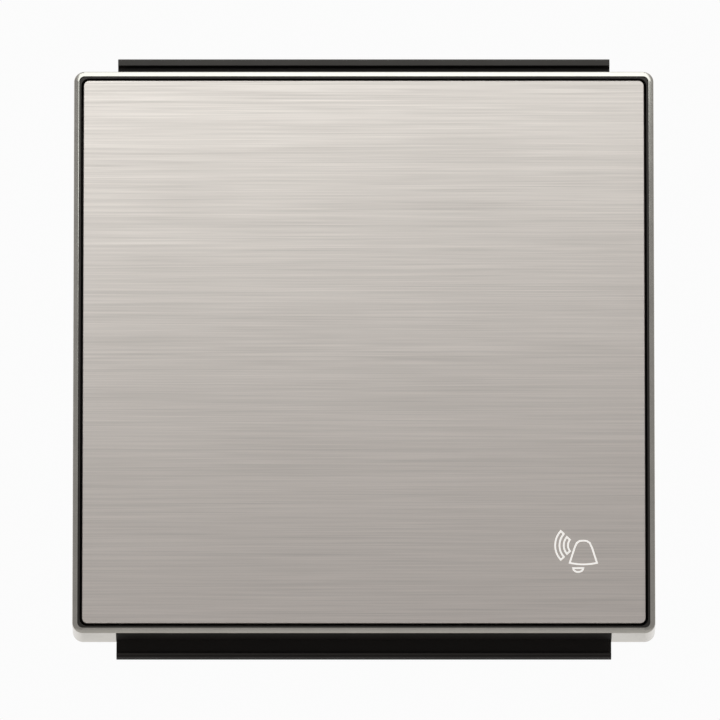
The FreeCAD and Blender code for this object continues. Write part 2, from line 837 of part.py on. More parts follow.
def build_cover_frame(doc, s):
    """Black moulding: lip inside the ring, flange behind it, snap rails and skirt."""
    piece = Piece(doc, s, "cover_frame")
    half = s.ring_half
    flange_half = half - s.flange_inset
    piece.slab("flange", s.ring_depth, s.flange_back, square(flange_half, s.flange_corner))
    piece.slab("lip", s.lip_drop, s.ring_depth, square(s.lip_half, s.lip_corner))
    piece.slab("skirt", s.flange_back, s.plate_front, square(s.skirt_half, s.skirt_corner))

    root = half + s.root_stand
    inside = s.lip_inner_half + s.lip_wall / 2
    outer = half + s.rail_reach
    for name, side, bead in (("upper", 1, s.upper_bead), ("lower", -1, s.lower_bead)):
        profile = piece.side_view(f"{name}_rail_profile")
        profile.polygon([
            (piece.y_at(s.ring_strip), inside * side),
            (piece.y_at(s.ring_strip), root * side),
            (piece.y_at(s.channel_depth), root * side),
            (piece.y_at(s.channel_depth), (outer - bead - s.bead_slope) * side),
            (piece.y_at(s.bead_depth), (outer - bead) * side),
            (piece.y_at(s.bead_depth), outer * side),
            (piece.y_at(s.rail_back), outer * side),
            (piece.y_at(s.rail_back), root * side),
            (piece.y_at(s.flange_back), flange_half * side),
            (piece.y_at(s.flange_back), inside * side),
        ])
        piece.pad(f"{name}_rail", profile, s.rail_half * 2, side="Symmetric")

    piece.recess("face_recess", s.lip_drop, s.ledge_depth,
                 square(s.lip_inner_half, s.lip_inner_corner))
    inner = s.skirt_inner_half
    piece.recess("skirt_recess", s.ledge_depth, s.plate_front,
                 square(inner, s.skirt_inner_corner))

    def nub_outlines(drawing):
        for side, height in four_corners(Size.of(1), s.tab_row):
            edge = (inner + OVERRUN) * side
            tip = (inner - s.nub_reach) * side
            left, right = (edge, tip) if side.value < 0 else (tip, edge)
            drawing.box(left, right, height - s.nub_width / 2, height + s.nub_width / 2)

    nubs = piece.slab("snap_nubs", s.nub_front, s.nub_front + s.nub_thick, nub_outlines)

    front, back = piece.y_at(s.bead_depth).value, piece.y_at(s.rail_back).value

    def on_edge(y):
        return lambda point: abs(abs(point.z) - outer.value) < NEAR and abs(point.y - y) < NEAR

    bead = piece.eased("Fillet", "bead_fronts", nubs, s.bead_round, on_edge(front))
    piece.eased("Fillet", "bead_heels", bead, s.bead_heel, on_edge(back))

    width = s.release_half_width
    piece.recess("release_notch", s.plate_front - s.release_height, s.plate_front,
                 lambda drawing: drawing.box(-width, width, -s.skirt_half - OVERRUN, -inner + OVERRUN))
    return piece


def build_rocker_body(doc, s):
    """Black moulded carrier inside the face tray: ribs and four clip hooks on its back."""
    piece = Piece(doc, s, "rocker_body")
    half = s.face_half - s.sheet_thick - s.carrier_gap
    back = s.carrier_back
    rib_back = back + s.rib_rise
    rib_front = back - OVERRUN
    piece.slab("plate", s.sheet_thick, back, square(half, s.carrier_corner))

    def rib_frame(drawing):
        inner = s.rib_half - s.rib_wall
        drawing.centred_box(Size.of(0), Size.of(0), s.rib_half, s.rib_half)
        drawing.centred_box(Size.of(0), Size.of(0), inner, inner)

    def upright_ribs(drawing):
        for side in SIDES:
            drawing.centred_box(s.rib_column * side, Size.of(0), s.rib_wall / 2, s.rib_half - s.rib_wall / 2)

    def cross_ribs(drawing):
        middle = (s.rib_column + s.rib_half - s.rib_wall / 2) / 2
        half_length = (s.rib_half - s.rib_wall / 2 - s.rib_column) / 2
        for side in SIDES:
            for row in (-s.rib_row, Size.of(0), s.rib_row):
                drawing.centred_box(middle * side, row, half_length, s.rib_wall / 2)

    def middle_ribs(drawing):
        low = s.cradle_half_height + s.hook_gap + s.hook_wall
        high = s.rib_half - s.rib_wall / 2
        for side in SIDES:
            drawing.centred_box(Size.of(0), (low + high) / 2 * side, s.rib_wall / 2, (high - low) / 2)

    piece.slab("rib_frame", rib_front, rib_back, rib_frame)
    piece.slab("upright_ribs", rib_front, rib_back, upright_ribs)
    piece.slab("cross_ribs", rib_front, rib_back, cross_ribs)
    piece.slab("middle_ribs", rib_front, rib_back, middle_ribs)

    inner = s.cradle_half_height + s.hook_gap
    outer = inner + s.hook_wall
    catch = s.cradle_back + s.hook_gap
    tip = s.cradle_back + s.hook_tip
    for number, (x, side) in enumerate(four_corners(s.hook_side, Size.of(1)), start=1):
        profile = piece.side_view(f"hook_{number}_profile", x)
        profile.polygon([
            (piece.y_at(rib_front), inner * side),
            (piece.y_at(catch), inner * side),
            (piece.y_at(catch), (inner - s.hook_nose) * side),
            (piece.y_at(tip), (inner + s.hook_wall / 2) * side),
            (piece.y_at(tip), outer * side),
            (piece.y_at(rib_front), outer * side),
        ])
        piece.pad(f"hook_{number}", profile, s.hook_width, side="Symmetric")
    return piece


def build_cradle(doc, s):
    """Pivoting piece behind the rocker: plate, trunnions on lugs and two round noses."""
    piece = Piece(doc, s, "cradle")
    front, back = s.carrier_back, s.cradle_back
    width, height = s.cradle_half_width, s.cradle_half_height
    piece.slab("plate", front, back, lambda drawing: drawing.rounded_box(
        -width, width, -height, height, s.cradle_corner))
    piece.recess("window", front, back, lambda drawing: drawing.centred_box(
        Size.of(0), Size.of(0), s.window_half_width, s.window_half_height))

    root = piece.y_at(back - OVERRUN)
    axis = piece.y_at(s.pivot_depth)
    lug_drawing = piece.side_view("lug_profile", width)
    lug_drawing.tongue(root, axis, 0, s.lug_radius)
    lug = piece.pad("lug", lug_drawing, s.lug_thick, backwards=True)
    pin_drawing = piece.side_view("trunnion_profile", width)
    pin_drawing.circle(axis, 0, s.pin_radius)
    pin = piece.pad("trunnion", pin_drawing, s.pin_length)
    piece.mirrored("other_trunnion", [lug, pin], "YZ_Plane")

    nose_drawing = piece.side_view("nose_profile")
    nose_drawing.tongue(root, piece.y_at(s.nose_depth - s.nose_radius), -s.lever, s.nose_radius)
    nose = piece.pad("nose", nose_drawing, s.nose_width, side="Symmetric")
    piece.mirrored("other_nose", [nose], "XY_Plane")
    return piece


def build_mounting_plate(doc, s):
    """Galvanised steel plate on the wall: opening, screw holes and four turned tabs."""
    piece = Piece(doc, s, "mounting_plate")
    front = s.plate_front
    opening = s.housing_half + s.opening_gap
    piece.slab("sheet", front, s.stand_off, square(s.skirt_half, s.skirt_corner))

    tab_outer = s.tab_outer

    def tab_outlines(drawing):
        for side, height in four_corners(Size.of(1), s.tab_row):
            middle = (tab_outer - s.tab_thick / 2) * side
            drawing.centred_box(middle, height, s.tab_thick / 2, s.tab_width / 2)

    piece.slab("tabs", s.tab_depth, front + OVERRUN, tab_outlines)
    windows = piece.side_view("tab_window_outline")
    for side in SIDES:
        windows.centred_box(piece.y_at(s.nub_front + s.nub_thick / 2), s.tab_row * side,
                            s.nub_thick / 2 + s.nub_gap, s.nub_width / 2 + s.nub_gap)
    piece.pocket("tab_windows", windows, tab_outer * 2 + CLEAR_CUT, side="Symmetric")

    piece.recess("opening", front, s.stand_off, eight_sided(
        opening, s.housing_chamfer + s.opening_gap * CUT_CORNER_SHARE))
    corner = s.box_screw_circle / 2 * DIAGONAL_SHARE
    piece.recess("box_screw_holes", front, s.stand_off,
                 round_spots(four_corners(corner, corner), s.box_hole_radius))
    piece.recess("cover_screw_holes", front, s.stand_off,
                 round_spots(four_corners(s.screw_column, s.screw_row), s.screw_radius + s.thread_play))
    foot = s.collar_half + s.arrow_room
    piece.recess("arrow", front, s.stand_off, lambda drawing: drawing.polygon([
        (-s.arrow_half_width, foot), (s.arrow_half_width, foot), (0, foot + s.arrow_height)]))
    return piece


def build_insert_cover(doc, s):
    """Front cover of the mechanism: trunnion ears, rest boss, press stops, plunger guide."""
    piece = Piece(doc, s, "insert_cover")
    front, back = s.cover_depth, s.cover_back
    row = -s.lever
    piece.slab("plate", front, back, eight_sided(s.collar_half, s.collar_chamfer))

    axis = piece.y_at(s.pivot_depth)
    ear_drawing = piece.side_view("ear_profile", s.cradle_half_width + s.ear_gap)
    ear_drawing.tongue(piece.y_at(front + OVERRUN), axis, 0, s.ear_radius)
    ear = piece.pad("ear", ear_drawing, s.ear_thick)
    piece.mirrored("other_ear", [ear], "YZ_Plane")
    bearing_drawing = piece.side_view("bearing_outline")
    bearing_drawing.circle(axis, 0, s.pin_radius + s.pin_play)
    ear_outer = s.cradle_half_width + s.ear_gap + s.ear_thick
    piece.pocket("bearings", bearing_drawing, ear_outer * 2 + CLEAR_CUT, side="Symmetric")

    piece.slab("rest_boss", s.nose_depth + s.rest_gap, front + OVERRUN,
               round_spots([(Size.of(0), s.lever)], s.boss_radius))

    def stop_outlines(drawing):
        middle = s.stop_inner + s.stop_width / 2
        for side in SIDES:
            drawing.centred_box(middle * side, s.stop_height / 2 - s.stop_edge,
                                s.stop_width / 2, s.stop_height / 2)

    piece.slab("press_stops", s.press_stop_depth, front + OVERRUN, stop_outlines)

    guide_width = s.plunger_half_width + s.slide_play
    guide_height = s.plunger_half_height + s.slide_play
    piece.slab("guide", back - OVERRUN, s.guide_end, lambda drawing: drawing.centred_box(
        Size.of(0), row, guide_width + s.sleeve_wall, guide_height + s.sleeve_wall))
    piece.recess("guide_way", back, s.guide_end, lambda drawing: drawing.centred_box(
        Size.of(0), row, guide_width, guide_height))
    piece.recess("stem_hole", front, back + OVERRUN,
                 round_spots([(Size.of(0), row)], s.stem_radius + s.stem_play))

    piece.recess("screw_holes", front, back,
                 round_spots(four_corners(s.screw_column, s.screw_row), s.screw_radius + s.screw_play))
    return piece


def build_insert_housing(doc, s):
    """Moulded housing in the wall box: collar, chambers, posts, spring well, wire entries."""
    piece = Piece(doc, s, "insert_housing")
    front, back = s.cover_back, s.housing_depth
    floor = s.housing_floor
    root = floor + OVERRUN
    cavity = s.cavity_half
    row = -s.lever
    piece.slab("collar", front, s.plate_front, eight_sided(s.collar_half, s.collar_chamfer))
    shell = piece.slab("shell", s.plate_front, back, eight_sided(s.housing_half, s.housing_chamfer))
    back_y = piece.y_at(back).value
    piece.eased("Chamfer", "back_edge", shell, s.housing_edge,
                lambda point: abs(point.y - back_y) < NEAR)
    piece.recess("cavity", front, floor, eight_sided(
        cavity, s.housing_chamfer - s.housing_wall * CUT_CORNER_SHARE))
    piece.recess("screw_holes", front, s.plate_front,
                 round_spots(four_corners(s.screw_column, s.screw_row), s.screw_radius + s.screw_play))

    seat = s.strip_back + s.strip_seat_gap
    wall_edge = cavity + OVERRUN
    piece.slab("cross_wall", seat, root, lambda drawing: drawing.centred_box(
        Size.of(0), s.cross_wall_row, wall_edge, s.inner_wall / 2))
    piece.slab("middle_wall", s.partition_depth, root, lambda drawing: drawing.box(
        -s.inner_wall / 2, s.inner_wall / 2, s.cross_wall_row, wall_edge))

    def post_outlines(drawing):
        middle = (s.post_inner + s.strip_outer) / 2
        half_width = (s.strip_outer - s.post_inner) / 2
        for side in SIDES:
            drawing.centred_box(middle * side, row, half_width, s.post_half_height)

    piece.slab("posts", seat, root, post_outlines)
    piece.slab("pegs", s.strip_front, seat + OVERRUN,
               square_spots(both_sides(s.peg_side, row), s.peg_half))

    well_inner = s.return_coil_radius + s.return_wire_radius + s.well_gap

    def well_outline(drawing):
        outer = well_inner + s.well_wall
        drawing.centred_box(Size.of(0), row, outer, outer)
        drawing.circle(0, row, well_inner)

    piece.slab("spring_well", floor - s.well_height, root, well_outline)

    wires = both_sides(s.terminal_side, s.wire_row)
    piece.slab("wire_bosses", s.cage_back + s.cage_seat_gap, root,
               square_spots(wires, s.wire_boss_half))
    piece.recess("wire_entries", s.cage_back, back, round_spots(wires, s.wire_radius))
    piece.recess("wire_mouths", back - s.wire_mouth_depth, back, round_spots(wires, s.wire_mouth_radius))

    screws = piece.top_view("driver_hole_outline", s.housing_half + OVERRUN)
    middle = piece.y_at(s.cage_front + s.cage_length / 2)
    for side in SIDES:
        screws.circle(s.terminal_side * side, middle, s.clamp_head_radius + s.driver_gap)
    head_room = s.housing_half + OVERRUN - s.clamp_head_low
    piece.pocket("driver_holes", screws, head_room)

    def groove_outlines(drawing):
        middle = s.housing_half + (OVERRUN - s.groove_cut) / 2
        half_depth = (OVERRUN + s.groove_cut) / 2
        for x, z in four_corners(middle, s.groove_row):
            drawing.centred_box(x, z, half_depth, s.groove_half_width)

    piece.recess("side_grooves", s.stand_off + s.groove_start, back, groove_outlines)

    def mark_outlines(drawing):
        drawing.centred_box(Size.of(0), -s.field_row, s.field_half_width, s.field_half_height)
        drawing.centred_box(Size.of(0), s.wire_row, s.gauge_length / 2, s.gauge_width / 2)

    piece.recess("back_marks", back - s.mark_cut, back, mark_outlines)
    return piece


def build_plunger(doc, s):
    """Moulded slide that carries the bridge: stem, block with a window, and spigot."""
    piece = Piece(doc, s, "plunger")
    row = -s.lever
    shoulder = s.cover_back + s.collar_rest
    spot = [(Size.of(0), row)]
    piece.slab("stem", s.nose_depth + s.rest_gap, shoulder + OVERRUN, round_spots(spot, s.stem_radius))
    piece.slab("block", shoulder, s.plunger_end, lambda drawing: drawing.centred_box(
        Size.of(0), row, s.plunger_half_width, s.plunger_half_height))
    window = piece.side_view("window_outline")
    window.box(piece.y_at(s.slot_front), piece.y_at(s.bridge_back + s.bridge_rest),
               row - s.bridge_half_height - s.slot_gap, row + s.bridge_half_height + s.slot_gap)
    piece.pocket("window", window, s.plunger_half_width * 2 + CLEAR_CUT, side="Symmetric")
    piece.slab("spigot", s.plunger_end - OVERRUN, s.plunger_end + s.spigot_length,
               round_spots(spot, s.spigot_radius))
    return piece


class Spring:
    """A coil spring along Y behind the rocker's nose, with a closed turn at each end."""

    def __init__(self, doc, sizes, label, coil_radius, wire_radius, turns, start, end):
        self.row = -sizes.lever.value
        self.coil_radius = coil_radius.value
        self.wire_radius = wire_radius.value
        self.turns = turns.value
        self.start = (start - sizes.stand_off + wire_radius).value
        self.travel = (end - start - wire_radius * 2).value
        self.body = doc.addObject("Part::Feature", label)
        self.body.Label = label
        self.body.Shape = self.wound()

    def rise(self, turn):
        """How far the wire has moved along the spring after some turns."""
        closed = CLOSED_PITCH * 2 * self.wire_radius
        if turn <= 1:
            return closed * turn
        if turn >= self.turns - 1:
            return self.travel - closed * (self.turns - turn)
        return closed + (self.travel - 2 * closed) * (turn - 1) / (self.turns - 2)

    def wound(self):
        stations = []
        for number in range(round(self.turns * RUNS_PER_TURN) + 1):
            turn = number / RUNS_PER_TURN
            angle = turn * 2 * math.pi
            stations.append(FreeCAD.Vector(
                self.coil_radius * math.sin(angle),
                self.start + self.rise(turn),
                self.row + self.coil_radius * math.cos(angle),
            ))
        spine = Part.makePolygon(stations)
        outward = (stations[0] - FreeCAD.Vector(0, stations[0].y, self.row)).normalize()
        ahead = (stations[1] - stations[0]).normalize()
        across = ahead.cross(outward).normalize()
        outward = across.cross(ahead)
        corners = []
        for number in range(WIRE_SIDES + 1):
            angle = number * 2 * math.pi / WIRE_SIDES
            side = outward * math.cos(angle) + across * math.sin(angle)
            corners.append(stations[0] + side * self.wire_radius)
        return Part.Wire(spine.Edges).makePipeShell([Part.makePolygon(corners)], True, False, MITRED)


def build_return_spring(doc, s):
    """Coil spring between the plunger and the back wall."""
    return Spring(doc, s, "return_spring", s.return_coil_radius, s.return_wire_radius, s.return_turns,
                  s.plunger_end + s.spring_gap, s.housing_floor - s.spring_gap)


def build_bridge_spring(doc, s):
    """Small coil spring in the plunger's window, which loads the bridge."""
    return Spring(doc, s, "bridge_spring", s.bridge_coil_radius, s.bridge_wire_radius, s.bridge_turns,
                  s.slot_front + s.spring_gap, s.bridge_depth - s.spring_gap)


def build_contact_bridge(doc, s):
    """Moving brass bridge across the plunger."""
    piece = Piece(doc, s, "contact_bridge")
    piece.slab("strip", s.bridge_depth, s.bridge_back, lambda drawing: drawing.rounded_box(
        -s.bridge_half_length, s.bridge_half_length,
        -s.lever - s.bridge_half_height, -s.lever + s.bridge_half_height, s.bridge_corner))
    return piece


def build_tips(doc, s, label, front, back):
    """Two contact rivets."""
    piece = Piece(doc, s, label)
    piece.slab("heads", front, back, round_spots(both_sides(s.tip_side, -s.lever), s.tip_radius))
    return piece


def build_contact_strip(doc, s, label, side):
    """Fixed brass strip: pad under the bridge, run up the housing, tongue in the cage."""
    piece = Piece(doc, s, label)
    row = -s.lever
    outer = s.strip_outer
    inner = outer - s.strip_width
    top = s.tongue_high
    low, high = row - s.strip_pad_half, row + s.strip_pad_half
    corners = [
        (s.strip_pad_inner, low), (outer, low), (outer, top),
        (inner, top), (inner, high), (s.strip_pad_inner, high),
    ]
    piece.slab("run", s.strip_front, s.strip_back,
               lambda drawing: drawing.polygon([(x * side, z) for x, z in corners]))
    piece.slab("tongue", s.strip_front, s.tongue_end, lambda drawing: drawing.centred_box(
        s.terminal_side * side, (s.tongue_low + top) / 2, s.strip_width / 2, s.strip_thick / 2))
    piece.recess("peg_hole", s.strip_front, s.strip_back,
                 square_spots([(s.peg_side * side, row)], s.peg_half + s.peg_play))
    return piece


def build_terminal_cage(doc, s, label, side):
    """Square cage round the strip's tongue and the wire, tapped for the clamping screw."""
    piece = Piece(doc, s, label)
    middle = s.terminal_side * side
    half_width = s.cage_width / 2
    low, high = s.cage_low, s.cage_low + s.cage_height
    wall = s.cage_wall
    piece.slab("tube", s.cage_front, s.cage_back, lambda drawing: drawing.box(
        middle - half_width, middle + half_width, low, high))
    piece.recess("way", s.cage_front, s.cage_back, lambda drawing: drawing.box(
        middle - half_width + wall, middle + half_width - wall, low + wall, high - wall))
    hole = piece.top_view("screw_hole_outline", high + OVERRUN)
    hole.circle(middle, piece.y_at(s.cage_front + s.cage_length / 2), s.clamp_radius + s.cage_seat_gap)
    piece.pocket("screw_hole", hole, wall + OVERRUN * 2)
    return piece


def build_pressure_plates(doc, s):
    """Two plates that the terminal screws press on the wires."""
    piece = Piece(doc, s, "pressure_plates")
    half_width = s.cage_width / 2 - s.cage_wall - s.press_side_gap

    def outlines(drawing):
        for side in SIDES:
            drawing.centred_box(s.terminal_side * side, s.press_low + s.press_thick / 2,
                                half_width, s.press_thick / 2)

    piece.slab("plates", s.cage_front + s.press_side_gap, s.cage_back - s.press_side_gap, outlines)
    return piece


def build_terminal_screws(doc, s):
    """Two slotted clamping screws, upright in the top of the housing."""
    piece = Piece(doc, s, "terminal_screws")
    middle = piece.y_at(s.cage_front + s.cage_length / 2)
    tip = s.press_low + s.press_thick + s.cage_seat_gap
    for side in SIDES:
        name = "right" if side > 0 else "left"
        profile = Drawing(piece.body, f"{name}_profile", "YZ_Plane", middle, 0, s.terminal_side * side)
        profile.polygon([
            (0, tip), (s.clamp_radius, tip), (s.clamp_radius, s.clamp_head_low),
            (s.clamp_head_radius, s.clamp_head_low), (s.clamp_head_radius, s.clamp_head_high),
            (0, s.clamp_head_high),
        ])
        piece.turned(f"{name}_screw", profile, "V_Axis")
    slots = piece.side_view("slot_outline")
    slots.box(middle - s.clamp_slot / 2, middle + s.clamp_slot / 2,
              s.clamp_head_high - s.clamp_slot, s.clamp_head_high + OVERRUN)
    reach = s.terminal_side + s.clamp_head_radius
    piece.pocket("slots", slots, reach * 2 + CLEAR_CUT, side="Symmetric")
    return piece


def build_cover_screws(doc, s):
    """Four flat-headed screws through cover and collar into the mounting plate."""
    piece = Piece(doc, s, "cover_screws")
    head_front = s.cover_depth - s.screw_head_height
    places = four_corners(s.screw_column, s.screw_row)
    piece.slab("shanks", s.cover_depth - OVERRUN, s.cover_depth + s.screw_length,
               round_spots(places, s.screw_radius))
    piece.slab("heads", head_front, s.cover_depth, round_spots(places, s.screw_head_radius))
    return piece


def build_all(doc, s):
    """All pieces, from the front of the button to the back of the housing."""
    return [
        build_face_plate(doc, s),
        build_trim_ring(doc, s),
        build_cover_frame(doc, s),
        build_rocker_body(doc, s),
        build_cradle(doc, s),
        build_mounting_plate(doc, s),
        build_insert_cover(doc, s),
        build_insert_housing(doc, s),
        build_plunger(doc, s),
        build_return_spring(doc, s),
        build_bridge_spring(doc, s),
        build_contact_bridge(doc, s),
        build_tips(doc, s, "bridge_tips", s.bridge_back, s.bridge_back + s.tip_rise),
        build_tips(doc, s, "strip_tips", s.strip_tip_front, s.strip_front),
        build_contact_strip(doc, s, "contact_strip_left", -1),
        build_contact_strip(doc, s, "contact_strip_right", 1),
        build_terminal_cage(doc, s, "terminal_cage_left", -1),
        build_terminal_cage(doc, s, "terminal_cage_right", 1),
        build_pressure_plates(doc, s),
        build_terminal_screws(doc, s),
        build_cover_screws(doc, s),
    ]


def check(doc, pieces):
    """Stop if a feature failed, a cut took nothing away, or a piece is not a sound solid."""
    for item in doc.Objects:
        if "Invalid" in item.State or "Error" in item.State:
            raise RuntimeError(f"{item.Label} failed: {item.State}")
        if item.TypeId == "PartDesign::Pocket":
            if item.Shape.Volume > item.BaseFeature.Shape.Volume - NEAR:
                raise RuntimeError(f"{item.Label} cuts nothing")
    for piece in pieces:
        shape = piece.body.Shape
        if shape.isNull() or not shape.isValid() or not shape.Solids:
            raise RuntimeError(f"{piece.body.Label} is not a sound solid")


def main():
    doc = FreeCAD.newDocument("push_button")
    sizes = SizeSheet(doc)
    pieces = build_all(doc, sizes)
    doc.recompute()
    check(doc, pieces)
    os.makedirs("parts", exist_ok=True)
    for piece in pieces:
        shape = piece.body.Shape
        shape.exportStep(f"parts/{piece.body.Label}.step")
        print(f"{piece.body.Label}: {len(shape.Solids)} solid, {shape.Volume:.2f} cubic mm")


main()
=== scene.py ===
import logging
import math
from dataclasses import dataclass
from enum import Enum
from functools import cache
from typing import Callable, Sequence

import bmesh
import bpy
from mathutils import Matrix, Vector


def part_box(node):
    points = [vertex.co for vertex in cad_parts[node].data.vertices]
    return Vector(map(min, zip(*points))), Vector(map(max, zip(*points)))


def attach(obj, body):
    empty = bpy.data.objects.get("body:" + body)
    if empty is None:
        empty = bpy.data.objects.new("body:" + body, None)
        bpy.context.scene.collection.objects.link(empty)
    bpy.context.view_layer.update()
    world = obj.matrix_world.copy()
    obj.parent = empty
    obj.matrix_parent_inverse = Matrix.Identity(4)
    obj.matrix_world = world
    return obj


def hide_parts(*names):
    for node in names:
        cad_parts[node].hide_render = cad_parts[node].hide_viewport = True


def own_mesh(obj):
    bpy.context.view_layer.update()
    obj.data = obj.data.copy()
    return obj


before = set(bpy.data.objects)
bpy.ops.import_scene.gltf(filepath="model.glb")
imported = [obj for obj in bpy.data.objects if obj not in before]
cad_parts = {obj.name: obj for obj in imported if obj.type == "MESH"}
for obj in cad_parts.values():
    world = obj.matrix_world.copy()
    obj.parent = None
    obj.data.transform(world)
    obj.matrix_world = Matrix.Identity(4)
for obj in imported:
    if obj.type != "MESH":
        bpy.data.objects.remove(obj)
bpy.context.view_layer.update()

# Looks of the doorbell push button: brushed face, metal ring, black mouldings and the bell sign.
# Metres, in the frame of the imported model: X right, Z up, Y into the wall.

MM = 0.001
NEAR = 1e-6
MERGE = 1e-7
ENDS = (0.3, 0.7)
SQUARE_ON = 0.9
FLAT_WEIGHT = 100
LOG = logging.getLogger("push_button")

Point = tuple[float, float]
Colour = tuple[float, float, float]
Triple = tuple[float, float, float]
Piece = bpy.types.Object
Node = bpy.types.Node
Socket = bpy.types.NodeSocket


class Body(Enum):
    """What a piece rides on."""

    BASE = "base"
    ROCKER = "rocker"
    PLUNGER = "plunger"
    BRIDGE = "bridge"


class Facing(Enum):
    """Way in which a screw's head faces, and the turn that puts it so."""

    UP = (0.0, 0.0, 0.0)
    FRONT = (math.pi / 2, 0.0, 0.0)


class Element(Enum):
    """What is selected in a mesh."""

    EDGE = "EDGE"
    FACE = "FACE"


@dataclass(frozen=True)
class Pattern:
    """A cloudy pattern: units for each metre along X, Y and Z, number and strength of finer layers."""

    scale: Triple
    detail: float = 3.0
    rough: float = 0.55


class Graph:
    """A shader tree, with short ways to add and join its nodes."""

    def __init__(self, tree: bpy.types.NodeTree) -> None:
        """Start from an empty tree, of a material or of the world."""
        self.tree = tree
        self.tree.nodes.clear()

    def add(self, kind: str, settings: dict[str, object] | None = None, **inputs: object) -> Node:
        """Add a node.

        Args:
            kind: Node type without its ShaderNode prefix.
            settings: Properties of the node.
            inputs: Socket values or source sockets, by socket name with _ for a space.

        Returns:
            The new node.
        """
        node = self.tree.nodes.new(f"ShaderNode{kind}")
        for name, value in (settings or {}).items():
            setattr(node, name, value)
        for name, value in inputs.items():
            self.feed(node, name.replace("_", " "), value)
        return node

    def feed(self, node: Node, socket: str | int, value: object) -> None:
        """Set a socket, or link a source into it.

        Args:
            node: The node that takes the value.
            socket: Name or number of its input.
            value: A number, a tuple or an output socket.
        """
        if isinstance(value, Socket):
            self.tree.links.new(value, node.inputs[socket])
        else:
            node.inputs[socket].default_value = value

    def math(self, operation: str, first: object, second: object) -> Socket:
        """Work out one number from two.

        Args:
            operation: The Math node's operation.
            first: Number or source.
            second: Number or source.

        Returns:
            The result's socket.
        """
        node = self.add("Math", {"operation": operation})
        self.feed(node, 0, first)
        self.feed(node, 1, second)
        return node.outputs[0]

    def place(self, scale: Triple) -> Socket:
        """Object coordinates, scaled to pattern units for each metre along X, Y and Z."""
        coordinates = self.add("TexCoord")
        return self.add("Mapping", Vector=coordinates.outputs["Object"], Scale=scale).outputs[0]

    def noise(self, pattern: Pattern) -> Socket:
        """Value of a cloudy pattern, between 0 and 1."""
        node = self.add("TexNoise", Vector=self.place(pattern.scale), Scale=1.0,
                        Detail=pattern.detail, Roughness=pattern.rough)
        return node.outputs[0]

    def blend(self, *parts: tuple[Socket, float]) -> Socket:
        """Add patterns up.

        Args:
            parts: Each pattern with its weight.

        Returns:
            The sum's socket.
        """
        total, *others = [self.math("MULTIPLY", pattern, weight) for pattern, weight in parts]
        for other in others:
            total = self.math("ADD", total, other)
        return total

    def seen(self) -> Socket:
        """Whether a ray comes from the camera, straight or through glass."""
        path = self.add("LightPath")
        return self.math("MAXIMUM", path.outputs["Is Camera Ray"], path.outputs["Is Transmission Ray"])

    def spread(self, value: Socket, results: Point, ends: Point = ENDS) -> Socket:
        """Spread a pattern between two numbers.

        Args:
            value: The pattern.
            results: Numbers at its low and its high end.
            ends: Pattern values that give them.

        Returns:
            The result's socket.
        """
        (low, high), (start, end) = results, ends
        node = self.add("MapRange", Value=value, From_Min=start, From_Max=end, To_Min=low, To_Max=high)
        return node.outputs[0]

    def ramp(self, value: Socket, stops: Sequence[tuple[float, Colour]]) -> Socket:
        """Colour a pattern.

        Args:
            value: The pattern.
            stops: Positions and their colours.

        Returns:
            The colour's socket.
        """
        node = self.add("ValToRGB", Fac=value)
        elements = node.color_ramp.elements
        while len(elements) < len(stops):
            elements.new(0.5)
        for element, (position, colour) in zip(elements, stops):
            element.position = position
            element.color = (*colour, 1.0)
        return node.outputs[0]

    def tones(self, value: Socket, colour: Colour, contrast: float, ends: Point = ENDS) -> Socket:
        """Colour a pattern in two tones of one colour, which depart from it by the contrast."""
        dark, light = shade(colour, 1 - contrast), shade(colour, 1 + contrast)
        return self.ramp(value, [(ends[0], dark), (ends[1], light)])

    def bump(self, height: Socket, strength: float, distance: float) -> Socket:
        """Normal of a relief, from a pattern, the share of it that shows and its height in metres."""
        return self.add("Bump", Height=height, Strength=strength, Distance=distance).outputs[0]


def shade(colour: Colour, share: float) -> Colour:
    """A linear colour made lighter or darker, with each channel times the share."""
    return tuple(min(1.0, channel * share) for channel in colour)


@dataclass(frozen=True)
class Finish:
    """Surface of one kind of piece; its children draw the pattern."""

    name: str
    slot: str
    colour: Colour

    @cache
    def material(self) -> bpy.types.Material:
        """Make the material, once for all the pieces that have this finish.

        Returns:
            The material, with its nodes.
        """
        material = bpy.data.materials.new(self.name)
        material.use_nodes = True
        graph = Graph(material.node_tree)
        surface = graph.add("BsdfPrincipled", **self.draw(graph))
        graph.add("OutputMaterial", Surface=surface.outputs[0])
        material.diffuse_color = (*self.colour, 1.0)
        return material

    def draw(self, graph: Graph) -> dict[str, object]:
        """Draw the pattern and return the surface shader's inputs, by socket name with _ for a space."""
        raise NotImplementedError


